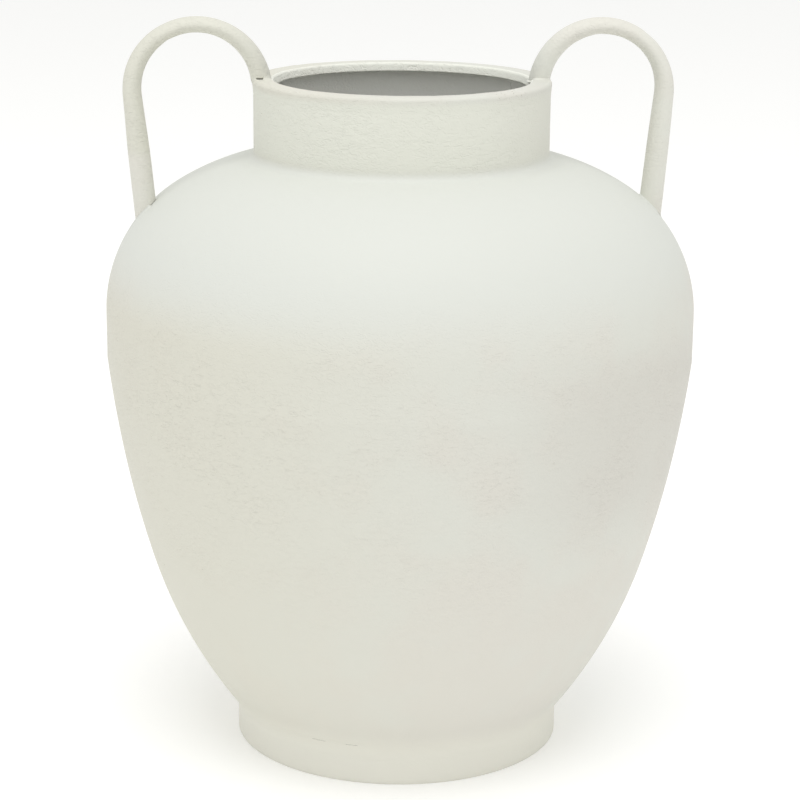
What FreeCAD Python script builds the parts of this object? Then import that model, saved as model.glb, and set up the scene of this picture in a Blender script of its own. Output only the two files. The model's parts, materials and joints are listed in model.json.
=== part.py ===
import FreeCAD, Part
from Sketcher import Constraint
import math
import operator
import os
from types import SimpleNamespace

# Two-handled urn vase, welded from spun and rolled sheet steel.
# Z is the vase's axis and points up, the foot stands on z = 0, and the handles lie
# along X: the right one at +X, the left one at -X. Lengths are millimetres.

DRIVING = [
    # Sheet and the openings that welding leaves
    ("sheet", 1.2),
    ("fit_gap", 0.3),
    ("root_gap", 0.6),
    # Spun lower bowl: seam at the belly, bend of the outline, base
    ("belly_radius", 154.2),
    ("seam_height", 212.0),
    ("bowl_upper_arc", 598.0),
    ("bowl_bend_radius_share", 0.681),
    ("bowl_bend_height_share", 0.4545),
    ("base_overhang", 1.5),
    ("base_bend", 3.0),
    # Spun shoulder dome: straight band, knuckle, crown that ends on a slope at the neck
    ("band_height", 23.1),
    ("crown_slope", 10.688),
    ("knuckle_tangent_share", 0.6472),
    ("shoulder_rise", 102.8),
    # Weld between bowl and dome
    ("belly_weld_width", 1.6),
    ("belly_weld_bead", 0.6),
    # Rolled neck, whose height counts from the dome to the rim's top, and its welds
    ("neck_radius", 76.8),
    ("neck_height", 40.6),
    ("neck_weld_leg", 4.5),
    ("neck_weld_hollow", 7.0),
    ("strip_seam_width", 2.0),
    ("strip_seam_bead", 0.4),
    ("collar_seam_azimuth", 37.0),
    # Pressed rim
    ("rim_width", 10.2),
    ("rim_lip", 4.5),
    ("rim_bend", 1.8),
    ("rim_setback", 0.6),
    ("rim_weld_bulge", 1.4),
    ("rim_weld_round", 1.4),
    ("rim_weld_depth", 2.0),
    # Rolled foot and its weld, which two cracks interrupt at the front left
    ("foot_radius", 87.0),
    ("foot_height", 19.5),
    ("foot_seam_azimuth", 95.0),
    ("foot_weld_leg", 3.3),
    ("tack_start", 241.3),
    ("tack_sweep", 3.0),
    ("left_crack_sweep", 12.5),
    ("right_crack_sweep", 8.7),
    # Bent tube of the handles
    ("tube_diameter", 12.2),
    ("tube_wall", 1.2),
    ("arc_drop", 5.9),
    ("handle_weld_leg", 1.8),
    # Each handle was bent and set by hand: how far in from the neck and the belly its two
    # ends stand, and its bend's radius as a share of the span between them
    ("left_rim_end_inset", 4.0),
    ("right_rim_end_inset", 5.5),
    ("left_foot_inset", 21.2),
    ("right_foot_inset", 22.6),
    ("left_bend_share", 0.553),
    ("right_bend_share", 0.546),
    ("left_rim_slot", 4.6),
    ("overrun", 15.0),
]

# The tube flattens where it is bent: its thickness, as shares of the diameter, at places
# that are shares of the bend from the rim end, and then at shares of the leg. It widens
# by part of what it loses.
bend_place_shares = [0.0, 0.2, 0.48, 0.8, 1.0]
bend_thickness_shares = [0.92, 0.82, 0.74, 0.78, 0.86]
leg_place_shares = [0.45, 1.0]
leg_thickness_shares = [0.96, 0.985]
widening_share = 0.6

OPERATIONS = {"+": operator.add, "-": operator.sub, "*": operator.mul, "/": operator.truediv}


class Size:
    """A number, and the expression that works it out from the sheet."""

    def __init__(self, text, number):
        self.text = text
        self.number = number

    def __add__(self, other):
        return combined(self, "+", other)

    def __radd__(self, other):
        return combined(other, "+", self)

    def __sub__(self, other):
        return combined(self, "-", other)

    def __rsub__(self, other):
        return combined(other, "-", self)

    def __mul__(self, other):
        return combined(self, "*", other)

    def __rmul__(self, other):
        return combined(other, "*", self)

    def __truediv__(self, other):
        return combined(self, "/", other)


def as_size(value):
    return value if isinstance(value, Size) else Size(repr(float(value)), float(value))


def combined(left, sign, right):
    left, right = as_size(left), as_size(right)
    return Size(f"({left.text} {sign} {right.text})", OPERATIONS[sign](left.number, right.number))


def root(value):
    return Size(f"sqrt({value.text})", math.sqrt(value.number))


def sine(angle):
    return Size(f"sin({angle.text})", math.sin(math.radians(angle.number)))


def cosine(angle):
    return Size(f"cos({angle.text})", math.cos(math.radians(angle.number)))


def tangent(angle):
    return sine(angle) / cosine(angle)


def arcs_meet(low, high, slope, reach):
    """Where an arc that leaves low upright meets one that ends at high on a slope.

    The reach is how far the first arc's two tangents run from their ends to their corner.
    """
    across, up = low[0] - high[0], high[1] - low[1] - reach
    along = across * cosine(slope) + up * sine(slope)
    far_reach = (across * across + up * up - reach * reach) / (2 * (reach + along))
    far_corner = (high[0] + far_reach * cosine(slope), high[1] - far_reach * sine(slope))
    share = reach / (reach + far_reach)
    return (low[0] + share * (far_corner[0] - low[0]),
            low[1] + reach + share * (far_corner[1] - low[1] - reach))


def direction(rise, run):
    """Angle in degrees of a slope, kept as a plain number."""
    text = f"(atan2({rise.text}; {run.text}) / 1 deg)"
    return Size(text, math.degrees(math.atan2(rise.number, run.number)))


ZERO = Size("0", 0.0)

doc = FreeCAD.newDocument("urn_vase")
sheet = doc.addObject("Spreadsheet::Sheet", "sizes")
for row, (alias, value) in enumerate(DRIVING, 1):
    sheet.set(f"A{row}", alias)
    sheet.set(f"B{row}", str(value))
    sheet.setAlias(f"B{row}", alias)
doc.recompute()
size = SimpleNamespace(**{alias: Size(f"sizes.{alias}", float(sheet.get(alias))) for alias, _ in DRIVING})

# A sketch's own numbers for the ends of its lines, and for its level and upright axes
START, END, CENTRE = range(1, 4)
ACROSS, UPRIGHT = range(-1, -3, -1)
ORIGIN = (ACROSS, START)
nodes = []


# Sketching

def new_body(name):
    return doc.addObject("PartDesign::Body", name)


def new_sketch(body, name, role="XZ_Plane"):
    plane = next(item for item in body.Origin.OriginFeatures if item.Role == role)
    sketch = body.newObject("Sketcher::SketchObject", name)
    sketch.AttachmentSupport = [(plane, "")]
    sketch.MapMode = "FlatFace"
    return sketch


def constrain(sketch, kind, *references, to=None):
    """Adds a constraint; to is the size that drives it."""
    if to is None:
        return sketch.addConstraint(Constraint(kind, *references))
    index = sketch.addConstraint(Constraint(kind, *references, to.number))
    sketch.setExpression(f"Constraints[{index}]", to.text)
    return index


def pin(sketch, edge, end, across=None, up=None):
    """Fixes an edge's end at a distance from the axis, a height, or both."""
    for kind, axis, value in (("DistanceX", UPRIGHT, across), ("DistanceY", ACROSS, up)):
        if value is ZERO:
            constrain(sketch, "PointOnObject", edge, end, axis)
        elif value is not None:
            constrain(sketch, kind, *ORIGIN, edge, end, to=value)


def join(sketch, first, second, kind="Coincident"):
    constrain(sketch, kind, *first, *second)


def point(across, up):
    return FreeCAD.Vector(across, up, 0)


def draw_line(sketch, start, end):
    return sketch.addGeometry(Part.LineSegment(point(*start), point(*end)), False)


def draw_arc(sketch, centre, start, end):
    """Arc that runs counter-clockwise from start to end about a centre."""
    radius = math.dist(centre, start)
    angles = [math.atan2(spot[1] - centre[1], spot[0] - centre[0]) for spot in (start, end)]
    circle = Part.Circle(point(*centre), FreeCAD.Vector(0, 0, 1), radius)
    return sketch.addGeometry(Part.ArcOfCircle(circle, *angles), False)


def tangent_centre(start, heading, end):
    """Centre of the arc that leaves start along a heading, in radians, and turns left to end."""
    normal = (-math.sin(heading), math.cos(heading))
    chord = (end[0] - start[0], end[1] - start[1])
    reach = (chord[0] ** 2 + chord[1] ** 2) / (2 * (chord[0] * normal[0] + chord[1] * normal[1]))
    return start[0] + normal[0] * reach, start[1] + normal[1] * reach


def chord_centre(start, end, radius):
    """Centre of the arc of a radius that turns left from start to end."""
    middle = ((start[0] + end[0]) / 2, (start[1] + end[1]) / 2)
    half = math.dist(start, end) / 2
    rise = math.sqrt(radius ** 2 - half ** 2)
    along = ((end[0] - start[0]) / (2 * half), (end[1] - start[1]) / (2 * half))
    return middle[0] - along[1] * rise, middle[1] + along[0] * rise


def numbers(corner):
    return corner[0].number, corner[1].number


def polygon(sketch, corners, hollow_edges=None):
    """Closed outline through corners; hollow_edges gives the radius of edges that curve in."""
    hollow_edges = hollow_edges or {}
    edges = []
    count = len(corners)
    for index, corner in enumerate(corners):
        start, end = numbers(corner), numbers(corners[(index + 1) % count])
        if index in hollow_edges:
            edge = draw_arc(sketch, chord_centre(end, start, hollow_edges[index].number), end, start)
            edges.append((edge, END, START))
        else:
            edges.append((draw_line(sketch, start, end), START, END))
    for index, corner in enumerate(corners):
        edge, first, last = edges[index]
        following, next_first, _ = edges[(index + 1) % count]
        join(sketch, (edge, last), (following, next_first))
        pin(sketch, edge, first, *corner)
        if index in hollow_edges:
            constrain(sketch, "Radius", edge, to=hollow_edges[index])
    return sketch


def revolve(body, name, sketch, sweep=None):
    feature = body.newObject("PartDesign::Revolution", name)
    feature.Profile = sketch
    feature.ReferenceAxis = (sketch, ["V_Axis"])
    feature.Angle = 360
    if sweep is not None:
        feature.setExpression("Angle", sweep.text)
    doc.recompute()
    return feature


def ring_edge(feature, across, up):
    """Name of the round edge about the axis at a radius and a height."""
    for index, edge in enumerate(feature.Shape.Edges, 1):
        curve = edge.Curve
        if not isinstance(curve, Part.Circle):
            continue
        if math.isclose(curve.Radius, across, abs_tol=1e-4) and math.isclose(curve.Center.z, up, abs_tol=1e-4):
            return f"Edge{index}"
    raise RuntimeError(f"{feature.Name} has no ring of radius {across} at height {up}")


def round_ring(body, name, across, up, radius):
    """Rounds the ring edge at a place with a radius."""
    base = body.Tip
    feature = body.newObject("PartDesign::Fillet", name)
    feature.Base = (base, [ring_edge(base, across, up)])
    feature.Radius = radius.number
    feature.setExpression("Radius", radius.text)
    doc.recompute()
    return feature


def turn(item, azimuth):
    """Turns a piece about the vase's axis."""
    item.Placement = FreeCAD.Placement(FreeCAD.Vector(0, 0, 0), FreeCAD.Rotation(FreeCAD.Vector(0, 0, 1), 1))
    item.setExpression(".Placement.Rotation.Angle", f"({azimuth.text}) * 1 deg")
    doc.recompute()


def cut(name, base, tool):
    item = doc.addObject("Part::Cut", name)
    item.Base = base
    item.Tool = tool
    doc.recompute()
    return item


def keep(item, label):
    """Marks an object as one of the vase's pieces."""
    item.Label = label
    nodes.append(item)
    return item


# Outlines that several pieces share, as (distance from the axis, height)

half_weld = size.belly_weld_width / 2
bowl_top = size.seam_height - half_weld
dome_bottom = size.seam_height + half_weld
base_radius = size.foot_radius + size.base_overhang
bowl_bend = (
    base_radius + size.bowl_bend_radius_share * (size.belly_radius - base_radius),
    size.foot_height + size.bowl_bend_height_share * (bowl_top - size.foot_height),
)
band_top = size.seam_height + size.band_height
shoulder_height = size.seam_height + size.shoulder_rise
rim_height = shoulder_height + size.neck_height
dome_rise = shoulder_height - band_top
hole_radius = size.neck_radius + size.fit_gap
knuckle_end = arcs_meet(
    (size.belly_radius, band_top),
    (hole_radius, shoulder_height),
    size.crown_slope,
    size.knuckle_tangent_share * (dome_rise - (size.belly_radius - hole_radius) * tangent(size.crown_slope)),
)
collar_bottom = shoulder_height - size.sheet
collar_top = rim_height - size.sheet
collar_inside = size.neck_radius - size.sheet
foot_top = size.foot_height - size.root_gap


def bowl_outside(sketch):
    """Outer curve of the bowl from its base up to the seam: two tangent arcs."""
    base, bend, top = (base_radius.number, size.foot_height.number), numbers(bowl_bend), (
        size.belly_radius.number, bowl_top.number)
    upper_centre = chord_centre(bend, top, size.bowl_upper_arc.number)
    heading = math.atan2(bend[1] - upper_centre[1], bend[0] - upper_centre[0]) + math.pi / 2
    # The lower arc is drawn backwards from the bend, so its centre lies on the same normal
    lower_centre = tangent_centre(bend, heading + math.pi, base)
    upper = draw_arc(sketch, upper_centre, bend, top)
    lower = draw_arc(sketch, lower_centre, base, bend)
    pin(sketch, upper, START, *bowl_bend)
    pin(sketch, upper, END, size.belly_radius, bowl_top)
    constrain(sketch, "Radius", upper, to=size.bowl_upper_arc)
    join(sketch, (lower, END), (upper, START), "Tangent")
    pin(sketch, lower, START, base_radius, size.foot_height)
    return lower, upper, lower_centre, upper_centre


def dome_outside(sketch):
    """Outer curve of the shoulder: straight band, knuckle and crown, tangent to each other."""
    bottom = (size.belly_radius.number, dome_bottom.number)
    top = (size.belly_radius.number, band_top.number)
    bend = numbers(knuckle_end)
    hole = (hole_radius.number, shoulder_height.number)
    knuckle_centre = tangent_centre(top, math.pi / 2, bend)
    heading = math.atan2(bend[1] - knuckle_centre[1], bend[0] - knuckle_centre[0]) + math.pi / 2
    crown_centre = tangent_centre(bend, heading, hole)
    band = draw_line(sketch, bottom, top)
    knuckle = draw_arc(sketch, knuckle_centre, top, bend)
    crown = draw_arc(sketch, crown_centre, bend, hole)
    pin(sketch, band, START, size.belly_radius, dome_bottom)
    constrain(sketch, "Vertical", band)
    pin(sketch, band, END, up=band_top)
    join(sketch, (band, END), (knuckle, START), "Tangent")
    pin(sketch, knuckle, END, *knuckle_end)
    join(sketch, (knuckle, END), (crown, START), "Tangent")
    pin(sketch, crown, END, hole_radius, shoulder_height)
    return band, knuckle, crown, knuckle_centre, crown_centre


def drawn_in(spot, centre, depth):
    """The point a depth inside a curve, towards the curve's centre."""
    reach = math.dist(spot, centre)
    share = (reach - depth) / reach
    return centre[0] + (spot[0] - centre[0]) * share, centre[1] + (spot[1] - centre[1]) * share


# Spun sheet: the lower bowl with its floor, and the shoulder dome

def lower_bowl():
    body = new_body("lower_bowl")
    sketch = new_sketch(body, "bowl_section")
    lower, upper, lower_centre, upper_centre = bowl_outside(sketch)
    sheet_now = size.sheet.number
    top = (size.belly_radius.number, bowl_top.number)
    floor = size.foot_height + size.sheet
    inner_top = (top[0] - sheet_now, top[1])
    inner_bend = drawn_in(numbers(bowl_bend), upper_centre, sheet_now)
    radius = math.dist(lower_centre, inner_bend)
    inner_base = (lower_centre[0] + math.sqrt(radius ** 2 - (floor.number - lower_centre[1]) ** 2), floor.number)
    lip = draw_line(sketch, top, inner_top)
    inner_upper = draw_arc(sketch, upper_centre, inner_bend, inner_top)
    inner_lower = draw_arc(sketch, lower_centre, inner_base, inner_bend)
    floor_top = draw_line(sketch, inner_base, (0, floor.number))
    axis = draw_line(sketch, (0, floor.number), (0, size.foot_height.number))
    floor_under = draw_line(sketch, (0, size.foot_height.number), (base_radius.number, size.foot_height.number))
    join(sketch, (upper, END), (lip, START))
    constrain(sketch, "Horizontal", lip)
    pin(sketch, lip, END, across=size.belly_radius - size.sheet)
    join(sketch, (inner_upper, CENTRE), (upper, CENTRE))
    join(sketch, (inner_upper, END), (lip, END))
    join(sketch, (inner_lower, CENTRE), (lower, CENTRE))
    join(sketch, (inner_lower, END), (inner_upper, START), "Tangent")
    join(sketch, (floor_top, START), (inner_lower, START))
    constrain(sketch, "Horizontal", floor_top)
    pin(sketch, floor_top, END, ZERO, floor)
    join(sketch, (axis, START), (floor_top, END))
    join(sketch, (axis, END), (floor_under, START))
    constrain(sketch, "Horizontal", floor_under)
    pin(sketch, floor_under, START, across=ZERO)
    join(sketch, (floor_under, END), (lower, START))
    spun = revolve(body, "bowl_spinning", sketch)
    rings = [edge.Curve.Radius for edge in spun.Shape.Edges
             if isinstance(edge.Curve, Part.Circle) and math.isclose(edge.Curve.Center.z, floor.number, abs_tol=1e-4)]
    round_ring(body, "base_bend_outside", base_radius.number, size.foot_height.number, size.base_bend)
    round_ring(body, "base_bend_inside", max(rings), floor.number, size.base_bend - size.sheet)
    return keep(body, "lower_bowl")


def bowl_form():
    """The bowl filled up, which trims the foot's weld to the bowl's outside."""
    body = new_body("bowl_form")
    sketch = new_sketch(body, "bowl_form_section")
    lower, upper, _, _ = bowl_outside(sketch)
    lid = draw_line(sketch, (size.belly_radius.number, bowl_top.number), (0, bowl_top.number))
    axis = draw_line(sketch, (0, bowl_top.number), (0, size.foot_height.number))
    floor = draw_line(sketch, (0, size.foot_height.number), (base_radius.number, size.foot_height.number))
    close_to_axis(sketch, (upper, END), lid, axis, floor, (lower, START))
    revolve(body, "bowl_form_spinning", sketch)
    round_ring(body, "bowl_form_bend", base_radius.number, size.foot_height.number, size.base_bend)
    return body


def close_to_axis(sketch, above, lid, axis, floor, below):
    """Joins a curve's two ends to the axis by a lid and a floor."""
    join(sketch, above, (lid, START))
    constrain(sketch, "Horizontal", lid)
    pin(sketch, lid, END, across=ZERO)
    join(sketch, (lid, END), (axis, START))
    join(sketch, (axis, END), (floor, START))
    pin(sketch, floor, START, across=ZERO)
    constrain(sketch, "Horizontal", floor)
    join(sketch, (floor, END), below)


def shoulder_dome():
    body = new_body("shoulder_dome")
    sketch = new_sketch(body, "dome_section")
    band, knuckle, crown, knuckle_centre, crown_centre = dome_outside(sketch)
    sheet_now = size.sheet.number
    bottom = (size.belly_radius.number, dome_bottom.number)
    hole = (hole_radius.number, shoulder_height.number)
    inner_bottom = (bottom[0] - sheet_now, bottom[1])
    inner_top = (bottom[0] - sheet_now, band_top.number)
    inner_bend = drawn_in(numbers(knuckle_end), knuckle_centre, sheet_now)
    radius = math.dist(crown_centre, inner_bend)
    inner_hole = (hole[0], crown_centre[1] + math.sqrt(radius ** 2 - (hole[0] - crown_centre[0]) ** 2))
    edge = draw_line(sketch, bottom, inner_bottom)
    inner_band = draw_line(sketch, inner_bottom, inner_top)
    inner_knuckle = draw_arc(sketch, knuckle_centre, inner_top, inner_bend)
    inner_crown = draw_arc(sketch, crown_centre, inner_bend, inner_hole)
    hole_edge = draw_line(sketch, inner_hole, hole)
    join(sketch, (band, START), (edge, START))
    constrain(sketch, "Horizontal", edge)
    pin(sketch, edge, END, across=size.belly_radius - size.sheet)
    join(sketch, (edge, END), (inner_band, START))
    constrain(sketch, "Vertical", inner_band)
    join(sketch, (inner_knuckle, CENTRE), (knuckle, CENTRE))
    join(sketch, (inner_band, END), (inner_knuckle, START), "Tangent")
    join(sketch, (inner_crown, CENTRE), (crown, CENTRE))
    join(sketch, (inner_knuckle, END), (inner_crown, START), "Tangent")
    join(sketch, (hole_edge, START), (inner_crown, END))
    join(sketch, (hole_edge, END), (crown, END))
    constrain(sketch, "Vertical", hole_edge)
    revolve(body, "dome_spinning", sketch)
    return keep(body, "shoulder_dome")


def shoulder_form():
    """The dome filled up, which trims whatever stands on it to its outside."""
    body = new_body("shoulder_form")
    sketch = new_sketch(body, "shoulder_form_section")
    band, _, crown, _, _ = dome_outside(sketch)
    hole = (hole_radius.number, shoulder_height.number)
    lid = draw_line(sketch, hole, (0, hole[1]))
    axis = draw_line(sketch, (0, hole[1]), (0, dome_bottom.number))
    floor = draw_line(sketch, (0, dome_bottom.number), (size.belly_radius.number, dome_bottom.number))
    close_to_axis(sketch, (crown, END), lid, axis, floor, (band, START))
    revolve(body, "shoulder_form_spinning", sketch)
    return body


# Rings with a straight-sided section

def ring(label, corners, hollow_edges=None, sweep=None, kept=True):
    body = new_body(label if kept else f"{label}_blank")
    sketch = new_sketch(body, f"{label}_section")
    polygon(sketch, corners, hollow_edges)
    revolve(body, f"{label}_spinning", sketch, sweep)
    return keep(body, label) if kept else body


def belly_weld():
    """Bead that fills the butt joint: ground flush outside, left proud inside."""
    inside = size.belly_radius - size.sheet - size.belly_weld_bead
    ring("belly_weld", [
        (inside, bowl_top),
        (size.belly_radius, bowl_top),
        (size.belly_radius, dome_bottom),
        (inside, dome_bottom),
    ])


def rolled_strip(label, seam_label, outside, bottom, top, azimuth):
    """Strip rolled to a ring, and the upright weld that closes it."""
    inside = outside - size.sheet
    seam_sweep = size.strip_seam_width / outside * (180 / math.pi)
    strip = ring(label, [(inside, bottom), (outside, bottom), (outside, top), (inside, top)],
                 sweep=360 - seam_sweep)
    turn(strip, azimuth)
    proud = inside - size.strip_seam_bead
    seam = ring(seam_label, [(proud, bottom), (outside, bottom), (outside, top), (proud, top)],
                sweep=seam_sweep)
    turn(seam, azimuth - seam_sweep)


def rim_ring():
    """Pressed angle ring: a flat top with a turned-down inner lip."""
    outside = size.neck_radius - size.rim_setback
    inside = size.neck_radius - size.rim_width
    lip_bottom = rim_height - size.rim_lip
    body = ring("rim_ring", [
        (inside, rim_height),
        (inside, lip_bottom),
        (inside + size.sheet, lip_bottom),
        (inside + size.sheet, collar_top),
        (outside, collar_top),
        (outside, rim_height),
    ])
    round_ring(body, "rim_bend_outside", inside.number, rim_height.number, size.rim_bend)
    round_ring(body, "rim_bend_inside", (inside + size.sheet).number, collar_top.number,
               size.rim_bend - size.sheet)


def rim_weld():
    """Corner weld between rim and collar, ground round."""
    toe = size.neck_radius - size.rim_setback
    crest = size.neck_radius + size.rim_weld_bulge
    shoulder = rim_height - size.rim_weld_depth
    body = ring("rim_weld", [
        (toe, collar_top),
        (size.neck_radius, collar_top),
        (size.neck_radius, shoulder - size.rim_weld_depth),
        (crest, shoulder),
        (crest, rim_height),
        (toe, rim_height),
    ])
    round_ring(body, "rim_weld_round", crest.number, rim_height.number, size.rim_weld_round)


def neck_weld(form):
    """Hollow-faced fillet weld where the collar comes out of the dome."""
    reach = size.neck_radius + size.neck_weld_leg
    blank = ring("neck_weld", [
        (size.neck_radius, shoulder_height - size.neck_weld_leg),
        (reach, shoulder_height - size.neck_weld_leg),
        (reach, shoulder_height - size.sheet),
        (size.neck_radius, shoulder_height + size.neck_weld_leg),
    ], hollow_edges={2: size.neck_weld_hollow}, kept=False)
    keep(cut("neck_weld", blank, form), "neck_weld")


def foot_welds(form):
    """Weld under the bowl in two runs: a short tack lies between the two open cracks."""
    corners = [
        (size.foot_radius, foot_top - size.foot_weld_leg),
        (base_radius + size.foot_weld_leg / 3, size.foot_height + size.foot_weld_leg),
        (size.foot_radius - size.root_gap, size.foot_height + size.foot_weld_leg),
        (size.foot_radius - size.root_gap, foot_top),
        (size.foot_radius, foot_top),
    ]
    tack_end = size.tack_start + size.tack_sweep
    run_start = tack_end + size.right_crack_sweep
    cracks = size.left_crack_sweep + size.right_crack_sweep
    runs = [
        ("foot_tack_weld", size.tack_start, size.tack_sweep),
        ("foot_weld", run_start, 360 - size.tack_sweep - cracks),
    ]
    for label, start, sweep in runs:
        blank = ring(label, corners, sweep=sweep, kept=False)
        turn(keep(cut(label, blank, form), label), start)


# Handles

def handle_places(side):
    """Where a handle's rim end, bend and leg lie, in the plane through the vase's axis."""
    rim_end = size.neck_radius - getattr(size, f"{side}_rim_end_inset")
    foot = size.belly_radius - getattr(size, f"{side}_foot_inset")
    bend = (foot - rim_end) * getattr(size, f"{side}_bend_share")
    centre = (rim_end + root(bend * bend - size.arc_drop * size.arc_drop),
              rim_height - size.arc_drop)
    inset = size.belly_radius - knuckle_end[0]
    rise = knuckle_end[1] - band_top
    knuckle = (inset * inset + rise * rise) / (2 * inset)
    beyond = foot - (size.belly_radius - knuckle)
    joint = (foot, band_top + root(knuckle * knuckle - beyond * beyond))
    aside, below = joint[0] - centre[0], centre[1] - joint[1]
    leg = root(aside * aside + below * below - bend * bend)
    lean = direction(below, aside) - direction(leg, bend)
    steep = direction(joint[1] - band_top, beyond)
    return SimpleNamespace(rim_end=rim_end, bend=bend, centre=centre, joint=joint, leg=leg,
                           lean=lean, steep=steep, turned=180 + lean)


def tube_spot(place, swing, beyond):
    """Point of the tube's middle line: so far round the bend, then so far down the leg."""
    return (place.centre[0] - place.bend * cosine(swing) + beyond * sine(swing),
            place.centre[1] + place.bend * sine(swing) + beyond * cosine(swing))


def tube_stops(place):
    """Where the tube's thickness is given: swing round the bend, run down the leg, thickness."""
    run = place.leg + size.overrun
    stops = [(place.turned * share, ZERO, thickness)
             for share, thickness in zip(bend_place_shares, bend_thickness_shares)]
    stops += [(place.turned, run * share, thickness)
              for share, thickness in zip(leg_place_shares, leg_thickness_shares)]
    return stops


def tube_sections(body, place, taken_off):
    """Ovals across the tube at its stops."""
    sections = []
    for index, (swing, beyond, thickness) in enumerate(tube_stops(place)):
        sketch = new_sketch(body, f"{body.Name}_oval_{index}", "XY_Plane")
        across, up = tube_spot(place, swing, beyond)
        rotation = FreeCAD.Rotation(FreeCAD.Vector(0, 1, 0), 1)
        sketch.AttachmentOffset = FreeCAD.Placement(FreeCAD.Vector(0, 0, 0), rotation)
        sketch.setExpression(".AttachmentOffset.Base.x", across.text)
        sketch.setExpression(".AttachmentOffset.Base.z", up.text)
        sketch.setExpression(".AttachmentOffset.Rotation.Angle", f"({swing.text}) * 1 deg")
        thin = size.tube_diameter * thickness - taken_off
        wide = size.tube_diameter * (1 + widening_share * (1 - thickness)) - taken_off
        ends = (point(0, wide.number / 2), point(thin.number / 2, 0), point(0, 0))
        oval = sketch.addGeometry(Part.Ellipse(*ends), False)
        sketch.exposeInternalGeometry(oval)
        long_axis, short_axis = oval + 1, oval + 2
        join(sketch, (oval, CENTRE), ORIGIN)
        constrain(sketch, "Vertical", long_axis)
        constrain(sketch, "Distance", long_axis, to=wide)
        constrain(sketch, "Distance", short_axis, to=thin)
        sections.append(sketch)
    return sections


def tube_path(body, place):
    """Middle line of the tube: the bend in stretches, then the straight leg in stretches."""
    sketch = new_sketch(body, f"{body.Name}_path")
    places = [tube_spot(place, swing, beyond) for swing, beyond, _ in tube_stops(place)]
    spots = [numbers(spot) for spot in places]
    bends = len(bend_place_shares) - 1
    arcs = [draw_arc(sketch, numbers(place.centre), end, start)
            for start, end in zip(spots[:bends], spots[1:bends + 1])]
    legs = [draw_line(sketch, start, end) for start, end in zip(spots[bends:], spots[bends + 1:])]
    pin(sketch, arcs[0], CENTRE, *place.centre)
    pin(sketch, arcs[0], END, up=place.centre[1])
    constrain(sketch, "Radius", arcs[0], to=place.bend)
    for spot, arc, following in zip(places[1:], arcs, arcs[1:]):
        join(sketch, (following, CENTRE), (arc, CENTRE))
        join(sketch, (following, END), (arc, START))
        pin(sketch, arc, START, across=spot[0])
    join(sketch, (arcs[-1], START), (legs[0], START), "Tangent")
    for spot, leg in zip(places[bends + 1:], legs):
        pin(sketch, leg, END, *spot)
    for leg, following in zip(legs, legs[1:]):
        join(sketch, (following, START), (leg, END))
    return sketch


def bar_along_tube(name, place, taken_off):
    """Solid of the tube's outside, or of its bore when the walls are taken off."""
    body = new_body(name)
    path = tube_path(body, place)
    sections = tube_sections(body, place, taken_off)
    feature = body.newObject("PartDesign::AdditivePipe", f"{name}_sweep")
    feature.Profile = sections[0]
    feature.Spine = path
    feature.Transformation = "Multisection"
    feature.Sections = sections[1:]
    doc.recompute()
    return body


def trim_rim_end(body, place):
    """Cuts the bar's rim end off level, just above the rim."""
    sketch = new_sketch(body, f"{body.Name}_trim")
    cut_height = rim_height + size.root_gap
    inner = place.rim_end - size.tube_diameter
    low = place.centre[1] - size.tube_diameter
    polygon(sketch, [(inner, low), (place.centre[0], low), (place.centre[0], cut_height), (inner, cut_height)])
    pocket = body.newObject("PartDesign::Pocket", f"{body.Name}_rim_cut")
    pocket.Profile = sketch
    pocket.Type = "ThroughAll"
    pocket.Midplane = True
    doc.recompute()


def to_side(item, side):
    """Handles are worked out at +X; the left one is turned half round the vase."""
    if side == "left":
        item.Placement = FreeCAD.Placement(FreeCAD.Vector(0, 0, 0), FreeCAD.Rotation(FreeCAD.Vector(0, 0, 1), 180))
        doc.recompute()


def handle(side, place, form):
    """Bent tube whose foot is cut to the dome. Returns the solid of its outside."""
    outside = bar_along_tube(f"{side}_tube", place, ZERO)
    trim_rim_end(outside, place)
    bore = bar_along_tube(f"{side}_bore", place, 2 * size.tube_wall)
    hollow = cut(f"{side}_tube_hollow", outside, bore)
    to_side(keep(cut(f"{side}_handle", hollow, form), f"{side}_handle"), side)
    return outside


def leg_cylinder(name, place, radius):
    """Round bar along a handle's leg, through the joint with the shoulder."""
    bar = doc.addObject("Part::Cylinder", name)
    reach = size.overrun
    lean_back = sine(place.lean)
    start = (place.joint[0] - reach * lean_back, place.joint[1] - reach * cosine(place.lean))
    bar.setExpression("Radius", radius.text)
    bar.setExpression("Height", (2 * reach).text)
    bar.Placement = FreeCAD.Placement(FreeCAD.Vector(0, 0, 0), FreeCAD.Rotation(FreeCAD.Vector(0, 1, 0), 1))
    bar.setExpression(".Placement.Base.x", start[0].text)
    bar.setExpression(".Placement.Base.z", start[1].text)
    bar.setExpression(".Placement.Rotation.Angle", f"({place.lean.text}) * 1 deg")
    return bar


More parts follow.
